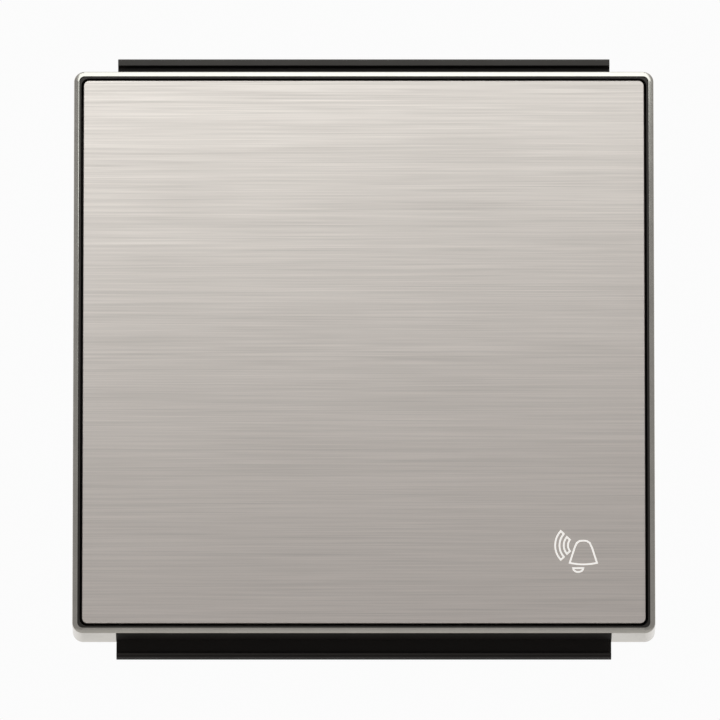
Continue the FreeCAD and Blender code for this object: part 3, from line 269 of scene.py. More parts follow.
@dataclass(frozen=True)
class BrushedSteel(Finish):
    """Stainless sheet with long horizontal brush lines."""

    fine: Pattern = Pattern((60.0, 300.0, 7000.0), 2.0, 0.6)
    strand: Pattern = Pattern((30.0, 150.0, 3200.0), 3.0, 0.6)
    band: Pattern = Pattern((12.0, 60.0, 900.0), 2.0, 0.5)
    weights: Triple = (0.5, 0.42, 0.08)
    ends: Point = (0.34, 0.66)
    contrast: float = 0.14
    roughness: float = 0.365
    play: float = 0.05
    relief: float = 0.0000012
    relief_share: float = 0.5
    drawn_out: float = 0.8

    def draw(self, graph: Graph) -> dict[str, object]:
        """Draw brush lines of three widths in colour, gloss and relief.

        Args:
            graph: The material's tree.

        Returns:
            Inputs of the surface shader.
        """
        widths = [graph.noise(pattern) for pattern in (self.fine, self.strand, self.band)]
        lines = graph.blend(*zip(widths, self.weights))
        tangent = graph.add("Tangent", {"direction_type": "UV_MAP", "uv_map": BRUSH_MAP})
        return {
            "Base_Color": graph.tones(lines, self.colour, self.contrast, self.ends),
            "Roughness": graph.spread(lines, (self.roughness + self.play, self.roughness - self.play)),
            "Normal": graph.bump(lines, self.relief_share, self.relief),
            "Metallic": 1.0,
            "Anisotropic": self.drawn_out,
            "Tangent": tangent.outputs[0],
        }


@dataclass(frozen=True)
class SatinMetal(Finish):
    """Plain metal with a fine satin or drawn grain."""

    grain: Pattern = Pattern((2500.0, 2500.0, 2500.0), 3.0, 0.6)
    mottle: Pattern = Pattern((300.0, 300.0, 300.0), 2.0, 0.5)
    weights: Point = (0.5, 0.5)
    ends: Point = (0.35, 0.65)
    contrast: float = 0.05
    roughness: float = 0.28
    play: float = 0.15
    relief: float = 0.000001
    relief_share: float = 0.4

    def draw(self, graph: Graph) -> dict[str, object]:
        """Draw a fine grain and faint cloudy patches.

        Args:
            graph: The material's tree.

        Returns:
            Inputs of the surface shader.
        """
        grain = graph.noise(self.grain)
        mixed = graph.blend(*zip((grain, graph.noise(self.mottle)), self.weights))
        glossy, rough = self.roughness * (1 - self.play), self.roughness * (1 + self.play)
        return {
            "Base_Color": graph.tones(mixed, self.colour, self.contrast, self.ends),
            "Roughness": graph.spread(mixed, (glossy, rough)),
            "Normal": graph.bump(grain, self.relief_share, self.relief),
            "Metallic": 1.0,
        }


@dataclass(frozen=True)
class Spangle(SatinMetal):
    """Hot-dip zinc with its crystal pattern."""

    crystal: Triple = (640.0, 640.0, 640.0)
    warp: Pattern = Pattern((1100.0, 1100.0, 1100.0), 2.0)
    warp_reach: Triple = (0.5, 0.5, 0.5)
    weights: Point = (0.7, 0.3)
    shades: Sequence[Point] = ((0.1, 0.88), (0.5, 1.0), (0.9, 1.08))
    rough_range: Point = (0.42, 0.52)
    relief: float = 0.000004
    relief_share: float = 0.25

    def draw(self, graph: Graph) -> dict[str, object]:
        """Draw zinc crystals, each with its own tone and gloss.

        Args:
            graph: The material's tree.

        Returns:
            Inputs of the surface shader.
        """
        bent = graph.add("VectorMath", {"operation": "MULTIPLY_ADD"})
        terms = (graph.noise(self.warp), self.warp_reach, graph.place(self.crystal))
        for socket, term in enumerate(terms):
            graph.feed(bent, socket, term)
        cells = graph.add("TexVoronoi", Vector=bent.outputs[0], Scale=1.0)
        tone = graph.add("SeparateColor", Color=cells.outputs["Color"]).outputs[0]
        mixed = graph.blend(*zip((tone, graph.noise(self.grain)), self.weights))
        stops = [(position, shade(self.colour, share)) for position, share in self.shades]
        return {
            "Base_Color": graph.ramp(mixed, stops),
            "Roughness": graph.spread(tone, self.rough_range, (0.0, 1.0)),
            "Normal": graph.bump(mixed, self.relief_share, self.relief),
            "Metallic": 1.0,
        }


@dataclass(frozen=True)
class Moulded(Finish):
    """Moulded plastic with the fine texture of its tool."""

    texture: Pattern = Pattern((5200.0, 5200.0, 5200.0), 3.0, 0.6)
    flow: Pattern = Pattern((140.0, 140.0, 60.0), 3.0, 0.5)
    contrast: float = 0.12
    roughness: float = 0.42
    play: Point = (0.05, 0.06)
    relief: float = 0.000004
    relief_share: float = 0.35
    gloss: float = 0.5
    gloss_tint: Colour = (1.0, 1.0, 1.0)

    def draw(self, graph: Graph) -> dict[str, object]:
        """Draw the tool texture and faint flow marks.

        Args:
            graph: The material's tree.

        Returns:
            Inputs of the surface shader.
        """
        flow = graph.noise(self.flow)
        less, more = self.play
        return {
            "Base_Color": graph.tones(flow, self.colour, self.contrast),
            "Roughness": graph.spread(flow, (self.roughness - less, self.roughness + more)),
            "Normal": graph.bump(graph.noise(self.texture), self.relief_share, self.relief),
            "Specular_IOR_Level": self.gloss,
            "Specular_Tint": (*self.gloss_tint, 1.0),
        }


@dataclass(frozen=True)
class Ink(Finish):
    """Matt printing ink with a slightly uneven lay, and a painted glow: an emission that lights the print
    though it is no lamp.
    """

    lay: Pattern = Pattern((6000.0, 6000.0, 6000.0), 2.0)
    shades: Sequence[Point] = ((0.3, 0.96), (0.7, 1.0))
    roughness: float = 0.6
    play: float = 0.08
    relief: float = 0.000002
    relief_share: float = 0.3
    # Painted glow: emission strength that brightens the thin printed lines, though the print is no lamp.
    painted_glow: float = 0.36

    def draw(self, graph: Graph) -> dict[str, object]:
        """Draw the ink's slight unevenness, and the painted glow, an emission that keeps thin lines
        bright.

        Args:
            graph: The material's tree.

        Returns:
            Inputs of the surface shader.
        """
        lay = graph.noise(self.lay)
        stops = [(position, shade(self.colour, share)) for position, share in self.shades]
        return {
            "Base_Color": graph.ramp(lay, stops),
            "Roughness": graph.spread(lay, (self.roughness - self.play, self.roughness + self.play)),
            "Normal": graph.bump(lay, self.relief_share, self.relief),
            "Emission_Color": (*self.colour, 1.0),
            "Emission_Strength": self.painted_glow,
        }


BRUSH_MAP = "brush"
WARM = (1.0, 0.92, 0.86)

FACE_STEEL = BrushedSteel("brushed_face_steel", "brushed_face", (0.66, 0.595, 0.558))
RING_METAL = SatinMetal("trim_ring_metal", "ring_metal", (0.56, 0.53, 0.485), roughness=0.2)
BLACK = Moulded("black_moulding", "black_plastic", (0.0125, 0.0112, 0.0103),
                gloss=0.46, gloss_tint=WARM)
# Darker, matt black for the rail channels and the lower rail's underside: its darker colour and weaker
# gloss are painted shade in these recesses.
SHADE_BLACK = Moulded("painted_shade_black_moulding", "black_plastic", (0.0108, 0.0096, 0.0088),
                     roughness=0.75, gloss=0.25, gloss_tint=WARM)
PALE = Moulded("pale_moulding", "pale_plastic", (0.66, 0.65, 0.60), contrast=0.03, roughness=0.38)
GREY = Moulded("grey_moulding", "grey_plastic", (0.22, 0.23, 0.235), contrast=0.05, roughness=0.46)
ZINC = Spangle("zinc_sheet", "galvanised_steel", (0.56, 0.575, 0.59))
SPRING = SatinMetal("spring_wire", "spring_steel", (0.42, 0.41, 0.40),
                    grain=Pattern((6000.0, 900.0, 6000.0), 3.0, 0.6))
BRASS = SatinMetal("contact_brass_sheet", "contact_brass", (0.78, 0.56, 0.25), contrast=0.08)
SILVER = SatinMetal("contact_silver_rivet", "contact_silver", (0.84, 0.82, 0.78), roughness=0.22)
PLATED = SatinMetal("plated_screw", "plated_steel", (0.60, 0.60, 0.59), contrast=0.07, roughness=0.3)
SIGN_INK = Ink("sign_ink", "pale_plastic", (0.98, 0.94, 0.90))


def dress(piece: Piece, finish: Finish) -> None:
    """Give a piece one finish all over."""
    piece.data.materials.clear()
    piece.data.materials.append(finish.material())


def mount(piece: Piece, finish: Finish, body: Body, *nodes: str) -> None:
    """Dress a finished piece and ride it on its body, in place of the plain nodes.

    Args:
        piece: The piece.
        finish: Its finish.
        body: What it rides on.
        nodes: The nodes that it takes the place of, which get the same finish.
    """
    dress(piece, finish)
    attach(piece, body.value)
    for node in nodes:
        dress(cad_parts[node], finish)
    if nodes:
        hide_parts(*nodes)
    LOG.info("%s: %s, %d faces", piece.name, finish.name, len(piece.data.polygons))


def deselect() -> None:
    """Leave edit mode and select nothing."""
    if bpy.context.object and bpy.context.object.mode != "OBJECT":
        bpy.ops.object.mode_set(mode="OBJECT")
    bpy.ops.object.select_all(action="DESELECT")


def choose_only(piece: Piece) -> None:
    """Select one piece and make it active.

    Args:
        piece: The piece.
    """
    deselect()
    piece.select_set(True)
    bpy.context.view_layer.objects.active = piece


def open_mesh(piece: Piece, element: Element) -> bmesh.types.BMesh:
    """Enter edit mode with nothing selected.

    Args:
        piece: The piece.
        element: What is selected next.

    Returns:
        The mesh in edit mode.
    """
    choose_only(piece)
    bpy.ops.object.mode_set(mode="EDIT")
    bpy.ops.mesh.select_mode(type=element.value)
    bpy.ops.mesh.select_all(action="DESELECT")
    return bmesh.from_edit_mesh(piece.data)


def select(piece: Piece, element: Element, chosen: Callable[[Vector, Vector], bool]) -> None:
    """Enter edit mode with the chosen edges or faces selected.

    Args:
        piece: The piece.
        element: What is selected.
        chosen: Test on an edge's two ends, or on a face's centre and normal.
    """
    net = open_mesh(piece, element)
    if element is Element.EDGE:
        for edge in net.edges:
            edge.select = chosen(edge.verts[0].co, edge.verts[1].co)
    else:
        for face in net.faces:
            face.select = chosen(face.calc_center_median(), face.normal)
    net.select_flush_mode()
    bmesh.update_edit_mesh(piece.data)


def block(low: Vector, high: Vector) -> Piece:
    """A plain block between two corners.

    Args:
        low: Corner with the least X, Y and Z, in metres.
        high: The opposite corner.

    Returns:
        The block, at the origin and unscaled.
    """
    deselect()
    bpy.ops.mesh.primitive_cube_add(size=1.0, location=(low + high) / 2, scale=high - low)
    bpy.ops.object.transform_apply()
    return bpy.context.object


def cut_away(piece: Piece, low: Vector, high: Vector) -> None:
    """Cut a block out of a piece.

    Args:
        piece: The piece.
        low: The block's corner with the least X, Y and Z, in metres.
        high: The opposite corner.
    """
    cutter = block(low, high)
    cut = piece.modifiers.new("cut", "BOOLEAN")
    cut.operation = "DIFFERENCE"
    cut.solver = "EXACT"
    cut.object = cutter
    choose_only(piece)
    bpy.ops.object.modifier_apply(modifier=cut.name)
    bpy.data.objects.remove(cutter, do_unlink=True)


def tube_along(name: str, paths: Sequence[Sequence[Vector]], radius: float,
               roundness: int = 2) -> Piece:
    """A round tube along one or more open paths, with closed ends.

    Args:
        name: Name of the piece.
        paths: Points of each path, in metres.
        radius: Radius of the tube in metres.
        roundness: Bevel resolution of the tube.

    Returns:
        One mesh with all the tubes.
    """
    deselect()
    bpy.ops.curve.primitive_bezier_circle_add()
    piece = bpy.context.object
    piece.name = piece.data.name = name
    curve = piece.data
    curve.dimensions = "3D"
    curve.splines.clear()
    for path in paths:
        spline = curve.splines.new("POLY")
        spline.points.add(len(path) - 1)
        for point, place in zip(spline.points, path):
            point.co = (*place, 1.0)
    curve.bevel_depth = radius
    curve.bevel_resolution = roundness
    curve.use_fill_caps = True
    choose_only(piece)
    bpy.ops.object.convert(target="MESH")
    return bpy.context.object


def renew_normals(piece: Piece) -> None:
    """Merge doubles and turn all faces outwards.

    Args:
        piece: The piece.
    """
    choose_only(piece)
    bpy.ops.object.mode_set(mode="EDIT")
    bpy.ops.mesh.select_all(action="SELECT")
    bpy.ops.mesh.remove_doubles(threshold=MERGE)
    bpy.ops.mesh.normals_make_consistent(inside=False)
    bpy.ops.object.mode_set(mode="OBJECT")


def smooth(piece: Piece, sharp: float) -> None:
    """Shade a piece smooth, with flat areas kept flat beside their rounded edges.

    Args:
        piece: The piece.
        sharp: Angle above which an edge stays sharp, in degrees.
    """
    choose_only(piece)
    bpy.ops.object.shade_smooth_by_angle(angle=math.radians(sharp))
    weighting = piece.modifiers.new("weighted_normals", "WEIGHTED_NORMAL")
    weighting.mode = "FACE_AREA"
    weighting.weight = FLAT_WEIGHT
    weighting.keep_sharp = True
    bpy.ops.object.modifier_apply(modifier=weighting.name)


def join(name: str, pieces: Sequence[Piece]) -> Piece:
    """Join several meshes into one.

    Args:
        name: Name of the result.
        pieces: The meshes.

    Returns:
        The joined piece.
    """
    deselect()
    for piece in pieces:
        piece.select_set(True)
    bpy.context.view_layer.objects.active = pieces[0]
    bpy.ops.object.join()
    joined = bpy.context.object
    joined.name = joined.data.name = name
    return joined


@dataclass
class BellSign:
    """Outlined bell with two sound waves, printed on the face plate."""

    wave_centre: Point = (23.10, -21.77)
    wave_radii: Sequence[Point] = ((2.42, 1.95), (1.485, 1.03))
    wave_angle: float = 44.5
    wave_corner: float = 0.12
    bell_middle: float = 23.73
    bell_low: float = -23.72
    bell_shape: Sequence[Point] = (
        (1.475, 0.0), (1.31, 0.52), (1.13, 1.10), (0.93, 1.72), (0.70, 2.23), (0.38, 2.45),
    )
    bell_height: float = 2.48
    rim_drop: float = 0.17
    clapper: Point = (23.17, -24.31)
    clapper_half_width: float = 0.55
    clapper_depth: float = 0.43
    line: float = 0.19
    mitre: float = 0.4
    print_height: float = 0.012
    sharp: float = 25.0
    arc_points: int = 9

    def shares(self) -> list[float]:
        """Even steps from 0 to 1, for the points of a curve."""
        return [number / (self.arc_points - 1) for number in range(self.arc_points)]

    def arc(self, radius: float, angle: float) -> list[Point]:
        """One long side of a wave, short of its ends by the wave's corner.

        Args:
            radius: Its radius in millimetres.
            angle: Where it starts, from the wave's middle, in radians. It ends as far on the other side.

        Returns:
            Points along it, in millimetres.
        """
        centre_x, centre_z = self.wave_centre
        start = angle - math.copysign(self.wave_corner / radius, angle)
        turns = [start - 2 * start * share for share in self.shares()]
        return [(centre_x - radius * math.cos(turn), centre_z + radius * math.sin(turn)) for turn in turns]

    def wave(self, outer: float, inner: float) -> list[Point]:
        """Outline of one sound wave, from the radii of its left and its right edge."""
        half = math.radians(self.wave_angle)
        return self.arc(outer, half) + self.arc(inner, -half)

    def bell(self) -> list[Point]:
        """The bell's body with its curved rim.

        Returns:
            Points round the outline, in millimetres.
        """
        middle, low, half = self.bell_middle, self.bell_low, self.bell_shape[0][0]
        right = [(middle + x, low + z) for x, z in self.bell_shape]
        left = [(middle - x, low + z) for x, z in reversed(self.bell_shape)]
        top = [(middle, low + self.bell_height)]
        across = [2 * share - 1 for share in self.shares()[1:-1]]
        rim = [(middle + half * side, low - self.rim_drop * (1 - side * side)) for side in across]
        return right + top + left + rim

    def clapper_outline(self) -> list[Point]:
        """The clapper's half ellipse, flat on top.

        Returns:
            Points round the outline, in millimetres.
        """
        middle, top = self.clapper
        half, depth = self.clapper_half_width, self.clapper_depth
        angles = [math.pi * share for share in self.shares()]
        return [(middle - half * math.cos(angle), top - depth * math.sin(angle)) for angle in angles]

    def grown(self, outline: Sequence[Point]) -> list[Point]:
        """An outline moved outwards by half a line, with pointed corners.

        Args:
            outline: Middle of the line, clockwise or not, in millimetres.

        Returns:
            Outer edge of the line, with one point for each given one.
        """
        points = [Vector(point) for point in outline]
        size = len(points)
        area = sum(points[number - 1].cross(points[number]) for number in range(size))
        side = math.copysign(self.line / 2, area)
        edge = []
        for number, point in enumerate(points):
            before = (point - points[number - 1]).normalized()
            after = (points[(number + 1) % size] - point).normalized()
            out_before, out_after = Vector((before.y, -before.x)), Vector((after.y, -after.x))
            middle = (out_before + out_after).normalized()
            edge.append(point + middle * side / max(self.mitre, middle.dot(out_after)))
        return [(point.x, point.y) for point in edge]

    def stroke(self, outline: Sequence[Point], front: float) -> Piece:
        """One printed line along a closed outline.

        Args:
            outline: Middle of the line in millimetres.
            front: Y of the surface under the print, in metres.

        Returns:
            The line as a thin mesh.
        """
        edge = self.grown(outline)
        deselect()
        bpy.ops.mesh.primitive_circle_add(vertices=len(edge), fill_type="NGON")
        piece = bpy.context.object
        for vertex, (x, z) in zip(piece.data.vertices, edge):
            vertex.co = (x * MM, front + self.print_height / 2 * MM, z * MM)
        rise = (0.0, -self.print_height * MM, 0.0)
        open_mesh(piece, Element.FACE)
        bpy.ops.mesh.select_all(action="SELECT")
        bpy.ops.mesh.inset(thickness=self.line * MM, use_even_offset=True)
        bpy.ops.mesh.delete(type="ONLY_FACE")
        bpy.ops.mesh.select_all(action="SELECT")
        bpy.ops.mesh.extrude_region_move(TRANSFORM_OT_translate={"value": rise})
        bpy.ops.object.mode_set(mode="OBJECT")
        return piece

    def build(self) -> None:
        """Print the sign on the face plate, riding on the rocker."""
        outlines = [self.wave(outer, inner) for outer, inner in self.wave_radii]
        outlines += [self.bell(), self.clapper_outline()]
        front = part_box("face_plate")[0].y
        piece = join("bell_sign", [self.stroke(outline, front) for outline in outlines])
        renew_normals(piece)
        bpy.ops.object.shade_smooth_by_angle(angle=math.radians(self.sharp))
        mount(piece, SIGN_INK, Body.ROCKER)


@dataclass
class FaceTray:
    """Brushed face plate: a folded tray with rounded corners and a smooth front edge."""

    sheet: float = 0.5
    corner: float = 0.6
    edge: float = 0.08
    sharp: float = 35.0
    corner_steps: int = 8
    edge_steps: int = 4

    def shape(self) -> Piece:
        """A block with rounded corners and front edge, opened at the back and given its thickness.

        Returns:
            The tray.
        """
        low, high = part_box("face_plate")
        piece = block(low, high)
        piece.name = piece.data.name = "face_tray"
        select(piece, Element.EDGE, lambda a, b: abs(a.y - b.y) > NEAR)
        bpy.ops.mesh.bevel(offset=self.corner * MM, segments=self.corner_steps)
        select(piece, Element.FACE, lambda centre, normal: normal.y > SQUARE_ON)
        bpy.ops.mesh.delete(type="ONLY_FACE")
        select(piece, Element.EDGE, lambda a, b: max(abs(a.y - low.y), abs(b.y - low.y)) < NEAR)
        bpy.ops.mesh.bevel(offset=self.edge * MM, segments=self.edge_steps)
        bpy.ops.object.mode_set(mode="OBJECT")
        thickness = piece.modifiers.new("sheet", "SOLIDIFY")
        thickness.thickness = self.sheet * MM
        thickness.offset = -1.0
        thickness.use_even_offset = True
        bpy.ops.object.modifier_apply(modifier=thickness.name)
        return piece

    def map_brush(self, piece: Piece) -> None:
        """Lay a flat map over the front, so that the gloss is drawn out across the brush lines.

        Args:
            piece: The tray.
        """
        layer = piece.data.uv_layers.new(name=BRUSH_MAP)
        for loop in piece.data.loops:
            place = piece.data.vertices[loop.vertex_index].co
            layer.data[loop.index].uv = (place.z + place.y, place.x + place.y)

    def build(self) -> None:
        """Make the tray in place of the plain solid."""
        piece = self.shape()
        self.map_brush(piece)
        smooth(piece, self.sharp)
        mount(piece, FACE_STEEL, Body.ROCKER, "face_plate")


@dataclass
class TrimRing:
    """Thin metal ring with a bevelled front and the notches where the snap rails pass."""

    wall: float = 0.55
    corner: float = 1.15
    bevel_rise: float = 0.15
    bevel_reach: float = 0.48
    strip: float = 0.35
    notch_half: float = 26.78
    cut_past: float = 2.0
    softened: float = 0.08
    sharp: float = 32.0
    corner_steps: int = 14
    softened_steps: int = 3

    def band(self) -> Piece:
        """The ring before its notches.

        Returns:
            A closed band with rounded corners and its front bevel.
        """
        low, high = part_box("trim_ring")
        shoulder = low.y + self.bevel_rise * MM
        piece = block(Vector((low.x, shoulder, low.z)), high)
        select(piece, Element.EDGE, lambda a, b: abs(a.y - b.y) > NEAR)
        bpy.ops.mesh.bevel(offset=self.corner * MM, segments=self.corner_steps)
        select(piece, Element.FACE, lambda centre, normal: normal.y < -SQUARE_ON)
        bpy.ops.mesh.inset(thickness=self.bevel_reach * MM, depth=self.bevel_rise * MM)
        bpy.ops.mesh.inset(thickness=(self.wall - self.bevel_reach) * MM)
        bpy.ops.mesh.delete(type="ONLY_FACE")
        select(piece, Element.FACE, lambda centre, normal: normal.y > SQUARE_ON)
        bpy.ops.mesh.inset(thickness=self.wall * MM)
        bpy.ops.mesh.delete(type="ONLY_FACE")
        bpy.ops.mesh.select_mode(type="EDGE")
        bpy.ops.mesh.select_all(action="DESELECT")
        bpy.ops.mesh.select_non_manifold()
        bpy.ops.mesh.bridge_edge_loops()
        select(piece, Element.EDGE, lambda a, b: max(abs(a.y - shoulder), abs(b.y - shoulder)) < NEAR)
        bpy.ops.mesh.bevel(offset=self.softened * MM, segments=self.softened_steps)
        bpy.ops.object.mode_set(mode="OBJECT")
        renew_normals(piece)
        return piece

    def notch(self, piece: Piece) -> None:
        """Cut the top and bottom walls away behind the front strip.

        Args:
            piece: The ring.
        """
        low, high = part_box("trim_ring")
        half, past = self.notch_half * MM, self.cut_past * MM
        cut_away(piece, Vector((-half, low.y + self.strip * MM, low.z - past)),
                 Vector((half, high.y + past, high.z + past)))

    def build(self) -> None:
        """Make the ring in place of its node."""
        piece = self.band()
        self.notch(piece)
        piece.name = piece.data.name = "trim_ring_band"
        smooth(piece, self.sharp)
        mount(piece, RING_METAL, Body.BASE, "trim_ring")


@dataclass
class SmoothShell:
    """A carried-over node with merged corners, softened edges and smooth shading."""

    node: str
    body: Body
    finish: Finish
    edge: float
    edge_steps: int = 2
    sharp: float = 32.0
    flat: float = 0.5
    # Second finish for the faces that the test picks; on the cover frame it is painted shade.
    painted_shade_finish: Finish | None = None
    painted_shade_on: Callable[[Vector, Vector], bool] | None = None

    def copy(self) -> Piece:
        """Copy the node's mesh and merge its loose triangles.

        Returns:
            The copy, with flat areas joined.
        """
        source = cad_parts[self.node]
        piece = bpy.data.objects.new(f"{self.node}_shell", source.data.copy())
        piece.data.name = piece.name
        bpy.context.scene.collection.objects.link(piece)
        choose_only(piece)
        bpy.ops.object.mode_set(mode="EDIT")
        bpy.ops.mesh.select_all(action="SELECT")
        bpy.ops.mesh.remove_doubles(threshold=NEAR)
        bpy.ops.mesh.dissolve_limited(angle_limit=math.radians(self.flat))
        bpy.ops.object.mode_set(mode="OBJECT")
        return piece

    def soften(self, piece: Piece) -> None:
        """Round the sharp edges a little, as a mould or a press leaves them.

        Args:
            piece: The copy.
        """
        rounding = piece.modifiers.new("softened_edges", "BEVEL")
        rounding.width = self.edge * MM
        rounding.segments = self.edge_steps
        rounding.limit_method = "ANGLE"
        rounding.angle_limit = math.radians(self.sharp)
        rounding.use_clamp_overlap = True
        choose_only(piece)
        bpy.ops.object.modifier_apply(modifier=rounding.name)

    def build(self) -> None:
        """Make the shell in place of its node."""
        piece = self.copy()
        self.soften(piece)
        smooth(piece, self.sharp)
        mount(piece, self.finish, self.body, self.node)
        # Faces picked by the test get the second finish, the painted shade of the cover frame's channels.
        if self.painted_shade_finish and self.painted_shade_on:
            piece.data.materials.append(self.painted_shade_finish.material())
            for face in piece.data.polygons:
                face.material_index = int(self.painted_shade_on(face.center, face.normal))


@dataclass
class CoilSpring:
    """Round-wire coil spring with a closed turn at each end."""

    node: str
    body: Body
    joint: str
    coil: float
    wire: float
    turns: float
    shortens: float
    held_at_back: bool
    closed_pitch: float = 1.15
    sharp: float = 50.0
    steps: int = 28

    def path(self) -> list[Vector]:
        """Middle of the wire, from the front end to the back end.

        Returns:
            Points along the wire, in metres.
        """
        low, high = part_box(self.node)
        row = (low.z + high.z) / 2
        start = low.y + self.wire * MM
        travel = high.y - low.y - 2 * self.wire * MM
        closed = self.closed_pitch * 2 * self.wire * MM
        points = []
        for number in range(round(self.turns * self.steps) + 1):
            turn = number / self.steps
            if turn <= 1:
                rise = closed * turn
            elif turn >= self.turns - 1:
                rise = travel - closed * (self.turns - turn)
            else:
                rise = closed + (travel - 2 * closed) * (turn - 1) / (self.turns - 2)
            angle = math.tau * turn
            points.append(Vector((self.coil * MM * math.sin(angle), start + rise,
                                  row + self.coil * MM * math.cos(angle))))
        return points

    def build(self) -> None:
        """Wind the spring in place of its plain coil."""
        piece = tube_along(f"{self.node}_wire", [self.path()], self.wire * MM)
        renew_normals(piece)
        bpy.ops.object.shade_smooth_by_angle(angle=math.radians(self.sharp))
        mount(piece, SPRING, self.body, self.node)
        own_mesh(piece)


@dataclass
class ScrewSet:
    """Slotted screws with rounded heads and threads, in place of a node's plain ones."""

    node: str
    facing: Facing
    head: float
    head_height: float
    shank: float
    pitch: float
    slot_width: float
    slot_depth: float
    sides: int = 40
    head_edge: float = 0.3
    head_edge_steps: int = 4
    cutter_share: float = 1.5
    core_share: float = 0.86
    tip_share: float = 0.4
    ridge_share: float = 0.42
    bare_turns: float = 1.1
    first_turn: float = 0.6
    next_turn: float = 1.9
    sharp: float = 35.0
    steps: int = 18

    def length(self) -> float:
        """Length of the shank under the head, in millimetres."""
        low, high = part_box(self.node)
        whole = high.z - low.z if self.facing is Facing.UP else high.y - low.y
        return whole / MM - self.head_height

    def shaped(self) -> Piece:
        """One screw at the origin, head up, with the underside of its head at Z = 0.

        Returns:
            The screw with its slot, without its thread.
        """
        top, depth = self.head_height * MM, self.slot_depth * MM
        reach, half = self.head * self.cutter_share * MM, self.slot_width / 2 * MM
        drop = (0.0, 0.0, -self.length() * MM)
        deselect()
        bpy.ops.mesh.primitive_cylinder_add(vertices=self.sides, radius=self.head * MM,
                                            depth=self.head_height * MM,
                                            location=(0.0, 0.0, self.head_height / 2 * MM))
        piece = bpy.context.object
        bpy.ops.object.transform_apply()
        select(piece, Element.FACE, lambda centre, normal: normal.z < -SQUARE_ON)
        bpy.ops.mesh.inset(thickness=(self.head - self.shank * self.core_share) * MM)
        bpy.ops.mesh.extrude_region_move(TRANSFORM_OT_translate={"value": drop})
        bpy.ops.mesh.bevel(offset=self.pitch * self.tip_share * MM, segments=1)
        select(piece, Element.EDGE, lambda a, b: max(abs(a.z - top), abs(b.z - top)) < NEAR)
        bpy.ops.mesh.bevel(offset=self.head_edge * MM, segments=self.head_edge_steps)
        bpy.ops.object.mode_set(mode="OBJECT")
        cut_away(piece, Vector((-reach, -half, top - depth)), Vector((reach, half, top + depth)))
        return piece

    def thread(self) -> Piece:
        """The thread's ridge round the shank.

        Returns:
            A coil that sits on the shank.
        """
        ridge = self.pitch * self.ridge_share
        middle = (self.shank - ridge) * MM
        run = self.length() - 2 * self.bare_turns * self.pitch
        points = []
        for number in range(round(run / self.pitch * self.steps)):
            angle = math.tau * number / self.steps
            drop = (self.bare_turns + number / self.steps) * self.pitch * MM
            points.append(Vector((middle * math.cos(angle), middle * math.sin(angle), -drop)))
        return tube_along("thread", [points], ridge * MM, roundness=0)

    def places(self) -> list[Vector]:
        """Where the undersides of the heads sit.

        Returns:
            One point for each screw, in metres.
        """
        low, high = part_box(self.node)
        head = self.head * MM
        if self.facing is Facing.UP:
            middle = (low.y + high.y) / 2
            rise = high.z - self.head_height * MM
            return [Vector((x, middle, rise)) for x in (low.x + head, high.x - head)]
        front = low.y + self.head_height * MM
        return [Vector((x, front, z)) for x in (low.x + head, high.x - head)
                for z in (low.z + head, high.z - head)]

    def build(self) -> None:
        """Make the screws in place of the node's plain ones."""
        screw = join("screw", [self.shaped(), self.thread()])
        renew_normals(screw)
        copies = []
        for number, place in enumerate(self.places()):
            copy = screw.copy()
            copy.data = screw.data.copy()
            bpy.context.scene.collection.objects.link(copy)
            copy.rotation_euler = self.facing.value
            copy.rotation_euler.rotate_axis("Z", self.first_turn + self.next_turn * number)
            copy.location = place
            copies.append(copy)
            choose_only(copy)
            bpy.ops.object.transform_apply()
        bpy.data.objects.remove(screw, do_unlink=True)
        piece = join(f"{self.node}_cut", copies)
        smooth(piece, self.sharp)
        mount(piece, PLATED, Body.BASE, self.node)


@dataclass
class Lettering:
    """Raised marks in the fields on the back of the housing."""

    rating: str = "10 A  250 V~"
    rating_size: float = 2.3
    rating_row: float = -4.2
    strip: str = "10 mm"
    strip_size: float = 1.5
    strip_row: float = 7.6
    field_cut: float = 0.4
    height: float = 0.2
    curve_steps: int = 4
    stroke: float = 0.14
    sign_strokes: Sequence[tuple[Point, Point]] = (
        ((-3.2, -8.4), (-1.3, -8.4)), ((1.3, -8.4), (3.2, -8.4)),
        ((-1.5, -7.7), (1.5, -7.7)), ((0.0, -7.7), (0.0, -6.6)), ((-0.6, -6.6), (0.6, -6.6)),
    )

    def line(self, words: str, size: float, row: float, surface: float) -> Piece:
        """One line of raised letters that reads from behind.

        Args:
            words: The letters.
            size: Their size in millimetres.
            row: Height of the line's middle, in millimetres.
            surface: Y of the surface that the letters stand on, in metres.

        Returns:
            The letters as a mesh.
        """
        deselect()
        bpy.ops.object.text_add()
        piece = bpy.context.object
        piece.data.body = words
        piece.data.size = size * MM
        piece.data.align_x = piece.data.align_y = "CENTER"
        piece.data.extrude = self.height * MM
        piece.data.resolution_u = self.curve_steps
        bpy.ops.object.convert(target="MESH")
        piece = bpy.context.object
        piece.rotation_euler = (math.pi / 2, 0.0, math.pi)
        piece.location = (0.0, surface, row * MM)
        bpy.ops.object.transform_apply()
        return piece

    def switch_sign(self, surface: float) -> Piece:
        """The circuit sign of a push contact, in raised lines on the surface at this Y."""
        paths = [[Vector((x * MM, surface, z * MM)) for x, z in stroke] for stroke in self.sign_strokes]
        return tube_along("switch_sign", paths, self.stroke * MM, roundness=1)

    def build(self) -> None:
        """Put the marks on the back."""
        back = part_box("insert_housing")[1].y
        field_floor = back - self.field_cut * MM
        marks = [
            self.line(self.rating, self.rating_size, self.rating_row, field_floor),
            self.switch_sign(field_floor),
            self.line(self.strip, self.strip_size, self.strip_row, back - self.height / 2 * MM),
        ]
        piece = join("back_marks", marks)
        renew_normals(piece)
        mount(piece, GREY, Body.BASE)


